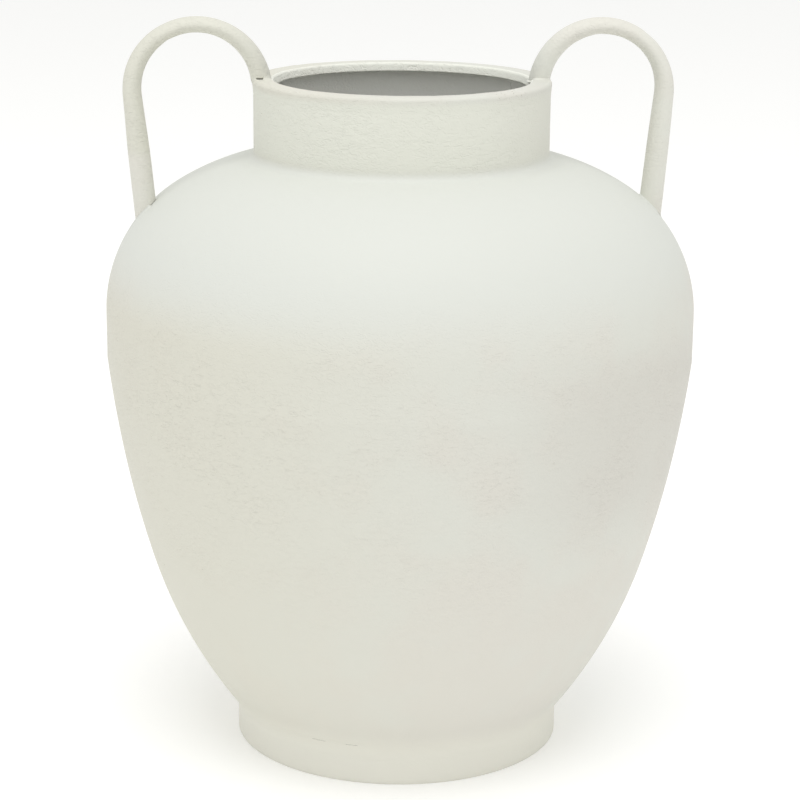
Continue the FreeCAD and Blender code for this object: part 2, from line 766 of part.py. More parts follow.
def shoulder_weld(side, place, form, tube):
    """Bead round a leg's foot, as high above the dome as it is wide."""
    outer = leg_cylinder(f"{side}_bead_outside", place, size.tube_diameter / 2 + size.handle_weld_leg)
    slab = doc.addObject("Part::Box", f"{side}_bead_slab")
    # The slab's top lies parallel to the dome at the joint, one bead above it
    tilt = 90 - place.steep
    for side_length in ("Length", "Width", "Height"):
        slab.setExpression(side_length, (4 * size.overrun).text)
    lift = size.handle_weld_leg - 4 * size.overrun
    half = 2 * size.overrun
    slab.Placement = FreeCAD.Placement(FreeCAD.Vector(0, 0, 0), FreeCAD.Rotation(FreeCAD.Vector(0, 1, 0), 1))
    slab.setExpression(".Placement.Base.x", (place.joint[0] + lift * sine(tilt) - half * cosine(tilt)).text)
    slab.setExpression(".Placement.Base.y", (ZERO - half).text)
    slab.setExpression(".Placement.Base.z", (place.joint[1] + lift * cosine(tilt) + half * sine(tilt)).text)
    slab.setExpression(".Placement.Rotation.Angle", f"({tilt.text}) * 1 deg")
    common = doc.addObject("Part::Common", f"{side}_bead_blank")
    common.Base = outer
    common.Tool = slab
    doc.recompute()
    above = cut(f"{side}_bead_above", common, form)
    label = f"{side}_handle_shoulder_weld"
    to_side(keep(cut(label, above, tube), label), side)


def rim_end_weld(side, place):
    """Bead under a handle's rim end; the left one is open in front."""
    label = f"{side}_handle_rim_weld"
    body = new_body(label)
    sketch = new_sketch(body, f"{label}_outline", "XY_Plane")
    sketch.setExpression(".AttachmentOffset.Base.z", rim_height.text)
    outer = size.tube_diameter / 2 - size.fit_gap
    inner = outer - 2 * size.tube_wall
    for radius in (outer, inner):
        circle = sketch.addGeometry(Part.Circle(point(place.rim_end.number, 0),
                                                FreeCAD.Vector(0, 0, 1), radius.number), False)
        pin(sketch, circle, CENTRE, place.rim_end, ZERO)
        constrain(sketch, "Radius", circle, to=radius)
    pad = body.newObject("PartDesign::Pad", f"{label}_bead")
    pad.Profile = sketch
    pad.setExpression("Length", size.root_gap.text)
    doc.recompute()
    if side == "left":
        slot = new_sketch(body, "left_rim_slot_outline", "XY_Plane")
        slot.setExpression(".AttachmentOffset.Base.z", rim_height.text)
        half = size.left_rim_slot / 2
        near, far = place.rim_end - half, place.rim_end + half
        polygon(slot, [(near, ZERO), (far, ZERO), (far, size.tube_diameter), (near, size.tube_diameter)])
        pocket = body.newObject("PartDesign::Pocket", "left_rim_slot_cut")
        pocket.Profile = slot
        pocket.Type = "ThroughAll"
        pocket.Midplane = True
        doc.recompute()
    keep(body, label)
    to_side(body, side)


lower_bowl()
shoulder_dome()
belly_weld()
rolled_strip("neck_collar", "collar_seam_weld", size.neck_radius, collar_bottom, collar_top,
             size.collar_seam_azimuth)
rim_ring()
rim_weld()
rolled_strip("foot_ring", "foot_seam_weld", size.foot_radius, ZERO, foot_top, size.foot_seam_azimuth)
dome_form = shoulder_form()
neck_weld(dome_form)
foot_welds(bowl_form())
for side in ("left", "right"):
    place = handle_places(side)
    tube = handle(side, place, dome_form)
    shoulder_weld(side, place, dome_form, tube)
    rim_end_weld(side, place)

doc.recompute()
for item in doc.Objects:
    if "Invalid" in item.State or "Error" in item.State:
        raise RuntimeError(f"{item.Name} did not build: {item.State}")
for item in nodes:
    if item.Shape.isNull() or not item.Shape.isValid() or not item.Shape.Solids:
        raise RuntimeError(f"{item.Label} has no sound solid")
os.makedirs("parts", exist_ok=True)
for item in nodes:
    item.Shape.exportStep(f"parts/{item.Label}.step")
    box = item.Shape.BoundBox
    print(f"{item.Label:28s} solids {len(item.Shape.Solids)}  {item.Shape.Volume / 1000:8.2f} cm3  "
          f"z {box.ZMin:7.2f} to {box.ZMax:7.2f}")
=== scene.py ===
import json
import math
import bmesh
import bpy
from mathutils import Matrix, Vector, noise

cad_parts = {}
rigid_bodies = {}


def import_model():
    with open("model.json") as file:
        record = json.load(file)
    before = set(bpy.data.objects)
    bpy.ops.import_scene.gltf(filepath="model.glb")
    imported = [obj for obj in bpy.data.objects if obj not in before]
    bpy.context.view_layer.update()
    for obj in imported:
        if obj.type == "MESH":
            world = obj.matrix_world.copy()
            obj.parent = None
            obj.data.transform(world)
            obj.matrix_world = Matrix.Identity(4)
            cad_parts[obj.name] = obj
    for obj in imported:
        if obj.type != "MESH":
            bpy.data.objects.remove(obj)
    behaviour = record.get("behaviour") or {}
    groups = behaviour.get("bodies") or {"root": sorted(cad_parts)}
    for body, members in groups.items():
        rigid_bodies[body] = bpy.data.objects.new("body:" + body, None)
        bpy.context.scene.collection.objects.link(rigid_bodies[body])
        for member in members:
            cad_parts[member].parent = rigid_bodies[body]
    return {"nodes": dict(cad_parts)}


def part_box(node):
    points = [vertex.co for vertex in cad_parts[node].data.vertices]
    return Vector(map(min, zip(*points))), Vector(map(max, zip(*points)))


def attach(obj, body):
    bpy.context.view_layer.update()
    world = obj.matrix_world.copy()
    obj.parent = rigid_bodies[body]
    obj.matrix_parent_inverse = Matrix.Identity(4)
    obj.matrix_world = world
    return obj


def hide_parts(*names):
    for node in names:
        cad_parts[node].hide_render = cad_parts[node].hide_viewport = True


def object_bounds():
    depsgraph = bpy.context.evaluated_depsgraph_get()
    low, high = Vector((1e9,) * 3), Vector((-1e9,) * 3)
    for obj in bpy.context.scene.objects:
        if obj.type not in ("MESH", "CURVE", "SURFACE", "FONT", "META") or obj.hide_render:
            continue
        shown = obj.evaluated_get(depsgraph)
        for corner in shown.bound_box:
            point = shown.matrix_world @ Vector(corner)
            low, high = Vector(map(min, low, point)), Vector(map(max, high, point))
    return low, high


# Urn vase of welded sheet steel in cream sand paint, on a pale studio floor.
# Metres; the vase stands on z = 0 with its axis on Z, handles along X, front towards -Y.

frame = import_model()
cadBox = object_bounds()
mm = 0.001
print("frame loaded:", len(frame["nodes"]), "nodes")


# Camera, floor and lights

view = {
    "azimuth": -4.0,  # degrees, a little towards the left handle
    "distance": 1.2449,  # from the vase's axis, level
    "height": 0.5166,
    "tilt": 0.262,  # radians below level
    "roll": 0.009,  # radians
    "focalPixels": 2412.0,
    "imagePixels": 800.0,
    "centrePixels": (398.8, 400.7),  # where the optical axis meets the picture
    "sensor": 36.0,  # millimetres
    "near": 0.05,
    "far": 60.0,
}


def makeCamera():
    data = bpy.data.cameras.new("camera")
    camera = bpy.data.objects.new("camera", data)
    bpy.context.scene.collection.objects.link(camera)
    turn = math.radians(view["azimuth"])
    away = view["distance"]
    camera.location = (away * math.sin(turn), -away * math.cos(turn), view["height"])
    upright = Matrix.Rotation(turn, 4, "Z") @ Matrix.Rotation(math.pi / 2 - view["tilt"], 4, "X")
    camera.rotation_euler = (upright @ Matrix.Rotation(view["roll"], 4, "Z")).to_euler()
    data.sensor_fit = "HORIZONTAL"
    data.sensor_width = view["sensor"]
    data.lens = view["focalPixels"] / view["imagePixels"] * view["sensor"]
    middle = (view["imagePixels"] - 1) / 2
    data.shift_x = (middle - view["centrePixels"][0]) / view["imagePixels"]
    data.shift_y = (view["centrePixels"][1] - middle) / view["imagePixels"]
    data.clip_start = view["near"]
    data.clip_end = view["far"]
    bpy.context.scene.camera = camera


studio = {
    "floorSize": 24.0,
    "floorColour": (0.955, 0.955, 0.95),
    "floorGlow": 0.13,  # a faint light of its own, as the photo's ground is nearly white
    "floorRoughness": 0.9,
    "floorShine": 0.1,
    "skyColour": (1.0, 1.0, 0.985),
    "skyStrength": 0.82,
    "keyColour": (1.0, 1.0, 1.0),
    "keyPower": 27.0,
    "keySize": 1.8,
    "keyPlace": (-0.1, -0.75, 2.6),
}


def makeStudio():
    size = studio["floorSize"] / 2
    mesh = bpy.data.meshes.new("floor")
    corners = [(-size, -size, 0), (size, -size, 0), (size, size, 0), (-size, size, 0)]
    mesh.from_pydata(corners, [], [(0, 1, 2, 3)])
    floor = bpy.data.objects.new("floor", mesh)
    bpy.context.scene.collection.objects.link(floor)
    look = bpy.data.materials.new("paleFloor")
    look.use_nodes = True
    shader = look.node_tree.nodes["Principled BSDF"]
    shader.inputs["Base Color"].default_value = (*studio["floorColour"], 1)
    shader.inputs["Roughness"].default_value = studio["floorRoughness"]
    shader.inputs["Specular IOR Level"].default_value = studio["floorShine"]
    shader.inputs["Emission Color"].default_value = (1, 1, 1, 1)
    shader.inputs["Emission Strength"].default_value = studio["floorGlow"]
    mesh.materials.append(look)

    world = bpy.data.worlds.new("studio")
    world.use_nodes = True
    sky = world.node_tree.nodes["Background"]
    sky.inputs["Color"].default_value = (*studio["skyColour"], 1)
    sky.inputs["Strength"].default_value = studio["skyStrength"]
    bpy.context.scene.world = world

    lamp = bpy.data.lights.new("keyLight", "AREA")
    lamp.shape = "DISK"
    lamp.size = studio["keySize"]
    lamp.energy = studio["keyPower"]
    lamp.color = studio["keyColour"]
    key = bpy.data.objects.new("keyLight", lamp)
    key.location = studio["keyPlace"]
    middle = (cadBox[0] + cadBox[1]) / 2
    key.rotation_euler = (key.location - middle).to_track_quat("Z", "Y").to_euler()
    bpy.context.scene.collection.objects.link(key)
    bpy.context.scene.view_settings.view_transform = "Standard"


makeCamera()
makeStudio()
print("camera, floor and lights made")


# Paint

class Wire:  # a value in a node tree; sums on it add Math nodes
    def __init__(self, tree, socket):
        self.tree = tree
        self.socket = socket

    def maths(self, operation, *values, clamp=False):
        node = self.tree.nodes.new("ShaderNodeMath")
        node.operation = operation
        node.use_clamp = clamp
        for entry, value in zip(node.inputs, values):
            connect(self.tree, entry, value)
        return Wire(self.tree, node.outputs[0])

    def __add__(self, other):
        return self.maths("ADD", self, other)

    def __radd__(self, other):
        return self.maths("ADD", other, self)

    def __sub__(self, other):
        return self.maths("SUBTRACT", self, other)

    def __rsub__(self, other):
        return self.maths("SUBTRACT", other, self)

    def __mul__(self, other):
        return self.maths("MULTIPLY", self, other)

    def __abs__(self):
        return self.maths("ABSOLUTE", self)

    def limited(self):
        return self.maths("ADD", self, 0.0, clamp=True)


def connect(tree, entry, value):  # links a wire, or sets a plain value
    if isinstance(value, Wire):
        tree.links.new(value.socket, entry)
    else:
        entry.default_value = value


class Tree:  # adds nodes to a material's tree or a geometry tree
    def __init__(self, tree):
        self.tree = tree

    def node(self, kind, settings=None, values=None):
        made = self.tree.nodes.new(kind)
        for name, value in (settings or {}).items():
            setattr(made, name, value)
        for name, value in (values or {}).items():
            connect(self.tree, made.inputs[name], value)
        return made

    def wire(self, kind, output, settings=None, values=None):
        return Wire(self.tree, self.node(kind, settings, values).outputs[output])

    def between(self, low, high, value):  # 0 at low, 1 at high, eased
        return self.wire("ShaderNodeMapRange", "Result", {"interpolation_type": "SMOOTHSTEP"},
                         {"Value": value, "From Min": low, "From Max": high})

    def band(self, edges, value):  # 1 between the middle two of four edges, 0 past the outer two
        return self.between(*edges[:2], value) * (1 - self.between(*edges[2:], value))

    def blendColour(self, share, first, second):
        return self.wire("ShaderNodeMix", 2, {"data_type": "RGBA"}, {0: share, 6: first, 7: second})

    def cloud(self, place, scale, detail=1.0, roughness=0.5, distortion=0.0):  # smooth noise
        return self.wire("ShaderNodeTexNoise", 0, None, {
            "Vector": place, "Scale": scale, "Detail": detail, "Roughness": roughness,
            "Distortion": distortion})

    def parts(self, vector):  # its X, Y and Z
        split = self.node("ShaderNodeSeparateXYZ", None, {"Vector": vector})
        return [Wire(self.tree, split.outputs[axis]) for axis in "XYZ"]

    def named(self, name):  # a number that the geometry carries
        return self.wire("GeometryNodeInputNamedAttribute", 0, {"data_type": "FLOAT"}, {"Name": name})


def rgba(colour):
    return (*colour, 1.0)


paints = {
    "sandPaint": {
        "light": (0.672, 0.678, 0.624),
        "warm": (0.675, 0.658, 0.602),
        # the pit colour and its share are painted shade, mixed in where the grain is low
        "pitShade": (0.55, 0.55, 0.49),
        "side": (0.668, 0.655, 0.572),  # painted shade: the darker, yellower tone of the shaded side, towards the left handle
        "far": (0.62, 0.605, 0.555),  # painted shade: darker towards the right handle, on belly and neck
        # painted light: the crown's slightly paler, cooler colour stands in for the key light on it
        "top": (0.672, 0.687, 0.645),
        "low": (0.785, 0.775, 0.70),  # painted light: the foot and the neck below the rim get paler colours than the body, standing in for light on them
        "high": (0.725, 0.732, 0.658),
        "pitShadeShare": 0.05,
        "grain": 240.0,  # grains to the metre
        "flatten": 1.9,  # grains lie level, so they repeat faster upwards
        "depth": 0.00020,  # of the grain, in metres
        "wave": 0.00030,  # height of the shallow waves under it
        "roughness": 0.58,
        "calm": 0.8,  # share of the grain that the bright crown lacks
    },
    "handlePaint": {
        "light": (0.71, 0.715, 0.655),
        "warm": (0.705, 0.69, 0.63),
        "pitShade": (0.60, 0.59, 0.52),
        # painted shade on the side towards the left handle, as on the body
        "side": (0.67, 0.665, 0.585),
        "pitShadeShare": 0.05,
        "grain": 270.0,
        "flatten": 1.7,
        "depth": 0.00020,
        "wave": 0.00025,
        "roughness": 0.55,
    },
    # painted light: the inside is the same cream paint made far paler, lifting its shaded walls
    "innerPaintedLight": {
        "light": (0.92, 0.925, 0.885),
        "warm": (0.915, 0.91, 0.87),
        "pitShade": (0.80, 0.80, 0.75),
        "pitShadeShare": 0.06,
        "grain": 300.0,
        "flatten": 1.2,
        "depth": 0.00012,
        "wave": 0.0002,
        "roughness": 0.5,
    },
    # painted light: the rim's inner lip has the cream paint made paler, lifting it out of its shade
    "lipPaintedLight": {
        "light": (0.84, 0.85, 0.78),
        "warm": (0.83, 0.82, 0.75),
        "pitShade": (0.66, 0.66, 0.60),
        "pitShadeShare": 0.12,
        "grain": 300.0,
        "flatten": 1.2,
        "depth": 0.00030,
        "wave": 0.00030,
        "roughness": 0.55,
    },
    "weldPaint": {
        "light": (0.69, 0.70, 0.64),
        "warm": (0.69, 0.67, 0.61),
        "pitShade": (0.58, 0.57, 0.50),
        "pitShadeShare": 0.08,
        "grain": 320.0,
        "flatten": 1.2,
        "depth": 0.00014,
        "wave": 0.00030,
        "roughness": 0.55,
    },
    # painted shade: near black, on the tube's bore and ends and in the open crack, where there is only
    # shade
    "gapPaintedShade": {
        "light": (0.030, 0.028, 0.026),
        "warm": (0.045, 0.035, 0.028),
        "pitShade": (0.02, 0.02, 0.02),
        "pitShadeShare": 0.4,
        "grain": 300.0,
        "flatten": 1.0,
        "depth": 0.00005,
        "wave": 0.0001,
        "roughness": 0.8,
    },
}


texture = {  # what all paints share; scales to the metre, places in metres
    "fine": 2.6,  # the fine grain's scale in coarse grains
    "patch": 26.0,
    "drift": 5.0,
    "wave": 85.0,
    "crease": 0.5,  # wrinkles run where the coarse noise is this near to its middle
    "ridgeShare": 0.85,
    "fineShare": 0.2,
    "foot": (0.012, 0.034),  # a zone of two heights begins between them
    "rough": (0.05, 0.17),
    "girdle": (0.120, 0.170, 0.215, 0.245),  # and one of four also ends, between the last two
    "crown": (0.240, 0.275, 0.314, 0.320),
    "neck": (0.314, 0.322),
    "rim": (0.350, 0.354),
    "leftHand": (-0.13, 0.06),  # places along X
    "rightHand": (0.02, 0.10),
    "patches": (0.34, 0.66),  # noise values
    "tones": (0.40, 0.60),
    "driftShare": 0.55,  # of the tones; patches make the rest
    # share of the left side's painted shade
    "sideShare": 0.85,
    # shares of the right side's painted shade, on the belly and on the neck
    "rightShadeShare": 0.75,
    "rightShadeNeck": 0.6,
    "lowGrain": 0.2,  # share of the grain that is left near the foot
    "mottle": 0.12,  # range of the roughness
    "shine": 0.28,
}
heaviness = {"patch": 0.5, "leftHand": 0.25, "girdle": 0.15, "neck": 0.2, "least": 0.2}  # of the grain


def makePaint(name):
    values = paints[name]
    look = bpy.data.materials.new(name)
    look.use_nodes = True
    build = Tree(look.node_tree)
    shader = look.node_tree.nodes["Principled BSDF"]
    place = build.wire("ShaderNodeTexCoord", "Object")
    level = build.wire("ShaderNodeMapping", 0, None, {"Vector": place, "Scale": (1, 1, values["flatten"])})
    coarse = build.cloud(level, values["grain"], roughness=0.4, distortion=1.4)
    fine = build.cloud(level, values["grain"] * texture["fine"], distortion=0.3)
    patch = build.cloud(place, texture["patch"], detail=2.0, roughness=0.6)
    drift = build.cloud(place, texture["drift"])
    wave = build.cloud(place, texture["wave"])
    ridge = 1 - build.between(0.0, texture["crease"], abs(coarse * 2 - 1))
    across, _, up = build.parts(place)
    crown = build.band(texture["crown"], up)
    girdle = build.band(texture["girdle"], up)
    neck = build.between(*texture["neck"], up)
    leftHand = 1 - build.between(*texture["leftHand"], across)
    rightHand = build.between(*texture["rightHand"], across)
    heavy = (build.between(*texture["patches"], patch) * heaviness["patch"]
             + leftHand * heaviness["leftHand"] + girdle * heaviness["girdle"]
             + neck * heaviness["neck"] + heaviness["least"])
    least = texture["lowGrain"]
    heavy = heavy * (build.between(*texture["rough"], up) * (1 - least) + least)
    grain = ridge * texture["ridgeShare"] + fine * texture["fineShare"]
    grain = grain * heavy * (1 - crown * values.get("calm", 0.0))
    relief = grain * (values["depth"] / values["wave"]) + wave
    bump = build.wire("ShaderNodeBump", 0, None, {
        "Height": relief, "Strength": 1.0, "Distance": values["wave"]})
    hue = drift * texture["driftShare"] + patch * (1 - texture["driftShare"])
    tone = build.between(*texture["tones"], hue)
    base = build.blendColour(tone, rgba(values["light"]), rgba(values["warm"]))
    # Painted shade: the side towards the left handle, off the crown, takes the darker, yellower side
    # colour.
    if "side" in values:
        base = build.blendColour(leftHand * (1 - crown) * texture["sideShare"], base, rgba(values["side"]))
    if "low" in values:
        # Painted shade: the belly and the neck towards the right handle are darkened with the far colour.
        paintedShadeRight = (girdle + neck * texture["rightShadeNeck"]) * rightHand * texture["rightShadeShare"]
        paintedLightNeck = neck * (1 - build.between(*texture["rim"], up))
        # Painted light: the foot takes the paler low colour and the neck below the rim the paler high
        # colour.
        base = build.blendColour(build.between(*texture["foot"], up), rgba(values["low"]), base)
        base = build.blendColour(paintedLightNeck, base, rgba(values["high"]))
        base = build.blendColour(paintedShadeRight, base, rgba(values["far"]))
        # Painted light: the crown takes the paler, cooler top colour.
        base = build.blendColour(crown, base, rgba(values["top"]))
    # Painted shade: where the grain is low the colour turns to the darker pit colour, as shade in its
    # hollows.
    paintedPitShade = (1 - grain) * values["pitShadeShare"]
    colour = build.blendColour(paintedPitShade.limited(), base, rgba(values["pitShade"]))
    roughness = values["roughness"] + patch * texture["mottle"] - texture["mottle"] / 2
    connect(look.node_tree, shader.inputs["Base Color"], colour)
    connect(look.node_tree, shader.inputs["Roughness"], roughness)
    connect(look.node_tree, shader.inputs["Normal"], bump)
    shader.inputs["Specular IOR Level"].default_value = texture["shine"]
    return look


looks = {name: makePaint(name) for name in paints}
print("paints made:", ", ".join(looks))


# Outlines, as points (distance from the axis, height)

def chordCentre(start, end, radius):  # of the arc of a radius that turns left from start to end
    middle = ((start[0] + end[0]) / 2, (start[1] + end[1]) / 2)
    half = math.dist(start, end) / 2
    rise = math.sqrt(radius ** 2 - half ** 2)
    along = ((end[0] - start[0]) / (2 * half), (end[1] - start[1]) / (2 * half))
    return middle[0] - along[1] * rise, middle[1] + along[0] * rise


def tangentCentre(start, heading, end):  # of the arc that leaves start on a heading and turns left to end
    normal = (-math.sin(heading), math.cos(heading))
    chord = (end[0] - start[0], end[1] - start[1])
    reach = (chord[0] ** 2 + chord[1] ** 2) / (2 * (chord[0] * normal[0] + chord[1] * normal[1]))
    return start[0] + normal[0] * reach, start[1] + normal[1] * reach


def arcBetween(centre, start, end, step):  # points from start to end, the short way round
    first = math.atan2(start[1] - centre[1], start[0] - centre[0])
    swing = math.remainder(math.atan2(end[1] - centre[1], end[0] - centre[0]) - first, 2 * math.pi)
    radius = math.dist(centre, start)
    count = max(2, math.ceil(abs(swing) * radius / step))
    angles = [first + swing * index / count for index in range(count + 1)]
    return [(centre[0] + radius * math.cos(angle), centre[1] + radius * math.sin(angle))
            for angle in angles]


def offsetLine(points, depth):  # the line a depth to the left of the way it runs
    moved = []
    for index, spot in enumerate(points):
        before = points[max(index - 1, 0)]
        after = points[min(index + 1, len(points) - 1)]
        length = math.dist(before, after)
        moved.append((spot[0] - (after[1] - before[1]) / length * depth,
                      spot[1] + (after[0] - before[0]) / length * depth))
    return moved


def rounded(corners, steps=4):  # corners are (distance, height, rounding radius)
    points = []
    count = len(corners)
    for index, (across, up, radius) in enumerate(corners):
        spot = Vector((across, up))
        if radius == 0:
            points.append((across, up))
            continue
        before = (Vector(corners[index - 1][:2]) - spot).normalized()
        after = (Vector(corners[(index + 1) % count][:2]) - spot).normalized()
        half = before.angle(after) / 2
        reach = radius / math.tan(half)
        start, end = spot + before * reach, spot + after * reach
        centre = spot + (before + after).normalized() * (radius / math.sin(half))
        points += arcBetween(centre, start, end, radius * (math.pi - 2 * half) / steps)
    return points


def divided(points, step, closed=False):  # long stretches get points between
    result = []
    ends = points[1:] + points[:1] if closed else points[1:]
    for start, end in zip(points, ends):
        count = max(1, math.ceil(math.dist(start, end) / step))
        across, up = end[0] - start[0], end[1] - start[1]
        result += [(start[0] + across * index / count, start[1] + up * index / count)
                   for index in range(count)]
    return result if closed else result + [points[-1]]


# Geometry Nodes trees

def geometryTree(name, inputs):  # an empty tree with these inputs and one geometry output
    tree = bpy.data.node_groups.new(name, "GeometryNodeTree")
    for label, kind in inputs.items():
        tree.interface.new_socket(label, in_out="INPUT", socket_type=f"NodeSocket{kind}")
    tree.interface.new_socket("Geometry", in_out="OUTPUT", socket_type="NodeSocketGeometry")
    build = Tree(tree)
    given = build.node("NodeGroupInput")
    return build, {socket.name: Wire(tree, socket) for socket in given.outputs if socket.name}


def spinTree():  # spins a section round the axis and leaves it as uneven as hand work
    build, entry = geometryTree("spinSection", {
        "Section": "Geometry", "Facets": "Int", "Points": "Int", "Start": "Float", "Sweep": "Float",
        "Dent": "Float", "Dent Scale": "Float", "Wander": "Float", "Wander Scale": "Float", "Seed": "Int",
        "Outside": "Material", "Inside": "Material"})
    grid = build.wire("GeometryNodeMeshGrid", "Mesh", None, {
        "Size X": entry["Points"] - 1, "Size Y": 1.0, "Vertices X": entry["Points"],
        "Vertices Y": entry["Facets"] + 1})
    position = build.wire("GeometryNodeInputPosition", 0)
    flatAlong, flatAround, _ = build.parts(position)
    place = build.wire("FunctionNodeFloatToInt", 0, {"rounding_mode": "ROUND"},
                       {0: flatAlong + (entry["Points"] - 1) * 0.5})
    angle = entry["Start"] + entry["Sweep"] * (flatAround + 0.5)

    def fromSection(kind, value):
        return build.wire("GeometryNodeSampleIndex", 0, {"data_type": kind},
                          {"Geometry": entry["Section"], "Value": value, "Index": place})

    radius, _, height = build.parts(fromSection("FLOAT_VECTOR", position))
    loose = fromSection("FLOAT", build.named("loose"))
    lining = fromSection("FLOAT", build.named("lining"))
    cosine, sine = angle.maths("COSINE", angle), angle.maths("SINE", angle)

    def onSurface(reach, rise):
        return build.wire("ShaderNodeCombineXYZ", 0, None, {
            "X": cosine * reach, "Y": sine * reach, "Z": rise})

    def roughness(scale, offset):  # noise about zero, the same on both ends of a full turn
        field = build.wire("ShaderNodeTexNoise", 0, {"noise_dimensions": "4D"}, {
            "Vector": onSurface(radius, height), "W": entry["Seed"] + offset, "Scale": scale,
            "Detail": 2.0})
        return (field - 0.5) * loose * 2

    reach = radius + roughness(entry["Dent Scale"], 0.0) * entry["Dent"]
    rise = height + roughness(entry["Wander Scale"], 7.0) * entry["Wander"]  # 7 gives another noise
    # The lining share is stored while the grid is still flat, because it is read by position
    marked = build.wire("GeometryNodeStoreNamedAttribute", 0, {"data_type": "FLOAT", "domain": "POINT"},
                        {"Geometry": grid, "Name": "lining", "Value": lining})
    spun = build.wire("GeometryNodeSetPosition", 0, None, {
        "Geometry": marked, "Position": onSurface(reach, rise)})
    closed = build.wire("GeometryNodeMergeByDistance", 0, None, {"Geometry": spun, "Distance": 0.01 * mm})
    smooth = build.wire("GeometryNodeSetShadeSmooth", 0, None, {"Geometry": closed})
    outside = build.wire("GeometryNodeSetMaterial", 0, None, {
        "Geometry": smooth, "Material": entry["Outside"]})
    inner = build.wire("FunctionNodeCompare", 0, {"data_type": "FLOAT", "operation": "GREATER_THAN"},
                       {"A": build.named("lining"), "B": 0.5})
    both = build.wire("GeometryNodeSetMaterial", 0, None, {
        "Geometry": outside, "Selection": inner, "Material": entry["Inside"]})
    build.node("NodeGroupOutput", None, {"Geometry": both})
    return build.tree


def plainMesh(item, tree, inputs):  # runs a tree on an object and returns its result as a plain mesh
    modifier = item.modifiers.new("build", "NODES")
    modifier.node_group = tree
    sockets = {socket.name: socket.identifier for socket in tree.interface.items_tree
               if socket.in_out == "INPUT"}
    for name, value in inputs.items():
        modifier[sockets[name]] = value
    item.update_tag()
    graph = bpy.context.evaluated_depsgraph_get()
    mesh = bpy.data.meshes.new_from_object(item.evaluated_get(graph), preserve_all_data_layers=True,
                                           depsgraph=graph)
    item.modifiers.remove(modifier)
    return mesh


def closeUp(mesh):  # fills open ends and turns the faces outwards
    work = bmesh.new()
    work.from_mesh(mesh)
    bmesh.ops.holes_fill(work, edges=[edge for edge in work.edges if edge.is_boundary], sides=0)
    if work.calc_volume(signed=True) < 0:
        bmesh.ops.reverse_faces(work, faces=work.faces)
    work.to_mesh(mesh)
    work.free()


def showPiece(name, mesh, nodes):  # nodes are names parted by spaces, or nothing
    piece = bpy.data.objects.new(name, mesh)
    bpy.context.scene.collection.objects.link(piece)
    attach(piece, "root")
    if nodes:
        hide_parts(*nodes.split())
    print(f"  {name}: {len(mesh.polygons)} faces")
    return piece


spinner = spinTree()
usualSpin = {"start": 0.0, "sweep": 360.0, "wander": 0.0, "wanderScale": 40.0}  # where a piece doesn't say


def spunPiece(name, node, points, values, loose=None, lining=None, closed=True):
    values = {**usualSpin, **values}
    loose, lining = loose or [1.0] * len(points), lining or [0.0] * len(points)
    if closed:
        points, loose, lining = (given + given[:1] for given in (points, loose, lining))
    section = bpy.data.meshes.new(f"{name}Section")
    section.from_pydata([(across, 0, up) for across, up in points], [], [])
    for label, given in (("loose", loose), ("lining", lining)):
        layer = section.attributes.new(label, "FLOAT", "POINT")
        layer.data.foreach_set("value", given)
    item = bpy.data.objects.new(f"{name}Section", section)
    bpy.context.scene.collection.objects.link(item)
    mesh = plainMesh(item, spinner, {
        "Facets": values["facets"], "Points": len(points),
        "Start": math.radians(values["start"]), "Sweep": math.radians(values["sweep"]),
        "Dent": values["dent"], "Dent Scale": values["dentScale"],
        "Wander": values["wander"], "Wander Scale": values["wanderScale"],
        "Seed": values["seed"], "Outside": looks[values["outside"]], "Inside": looks[values["inside"]]})
    bpy.data.objects.remove(item)
    closeUp(mesh)
    return showPiece(name, mesh, node)


# Places that the frame gives

def radiusOf(node):
    return max(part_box(node)[1].y, -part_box(node)[0].y)


bellyRadius = radiusOf("lower_bowl")
bowlLow, bowlTop = (corner.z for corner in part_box("lower_bowl"))
domeLow, domeTop = (corner.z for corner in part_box("shoulder_dome"))
neckRadius = radiusOf("neck_collar")
collarLow, collarTop = (corner.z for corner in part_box("neck_collar"))
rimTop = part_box("rim_ring")[1].z
footRadius = radiusOf("foot_ring")
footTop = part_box("foot_ring")[1].z

sheet = 1.2 * mm
skin = {  # shared, so that the ground joints don't show
    "facets": 320,
    "dent": 0.15 * mm,
    "dentScale": 22.0,
    "seed": 3,
    "outside": "sandPaint",
    "inside": "innerPaintedLight",
}


# Spun shells

bowl = {
    "overhang": 1.5 * mm,  # how far the base stands out past the foot
    "bendAcross": 0.681,  # share of the way from base to belly where the outline bends
    "bendUp": 0.4545,
    "upperArc": 0.598,
    "baseBend": 3.0 * mm,
    "brim": 0.3 * mm,  # a last short stretch keeps the shading even up to the edge
    "step": 4.0 * mm,
    **skin,
}
baseRadius = footRadius + bowl["overhang"]


def bowlSide():  # the outline from the base corner to the belly
    base, top = (baseRadius, bowlLow), (bellyRadius, bowlTop)
    bend = (base[0] + bowl["bendAcross"] * (top[0] - base[0]),
            base[1] + bowl["bendUp"] * (top[1] - base[1]))
    upper = chordCentre(bend, top, bowl["upperArc"])
    heading = math.atan2(bend[1] - upper[1], bend[0] - upper[0]) + math.pi / 2
    lower = tangentCentre(bend, heading + math.pi, base)
    return arcBetween(lower, base, bend, bowl["step"]) + arcBetween(upper, bend, top, bowl["step"])[1:]


def partWay(start, end, length):  # the point at a length from start towards end
    share = length / math.dist(start, end)
    return start[0] + (end[0] - start[0]) * share, start[1] + (end[1] - start[1]) * share


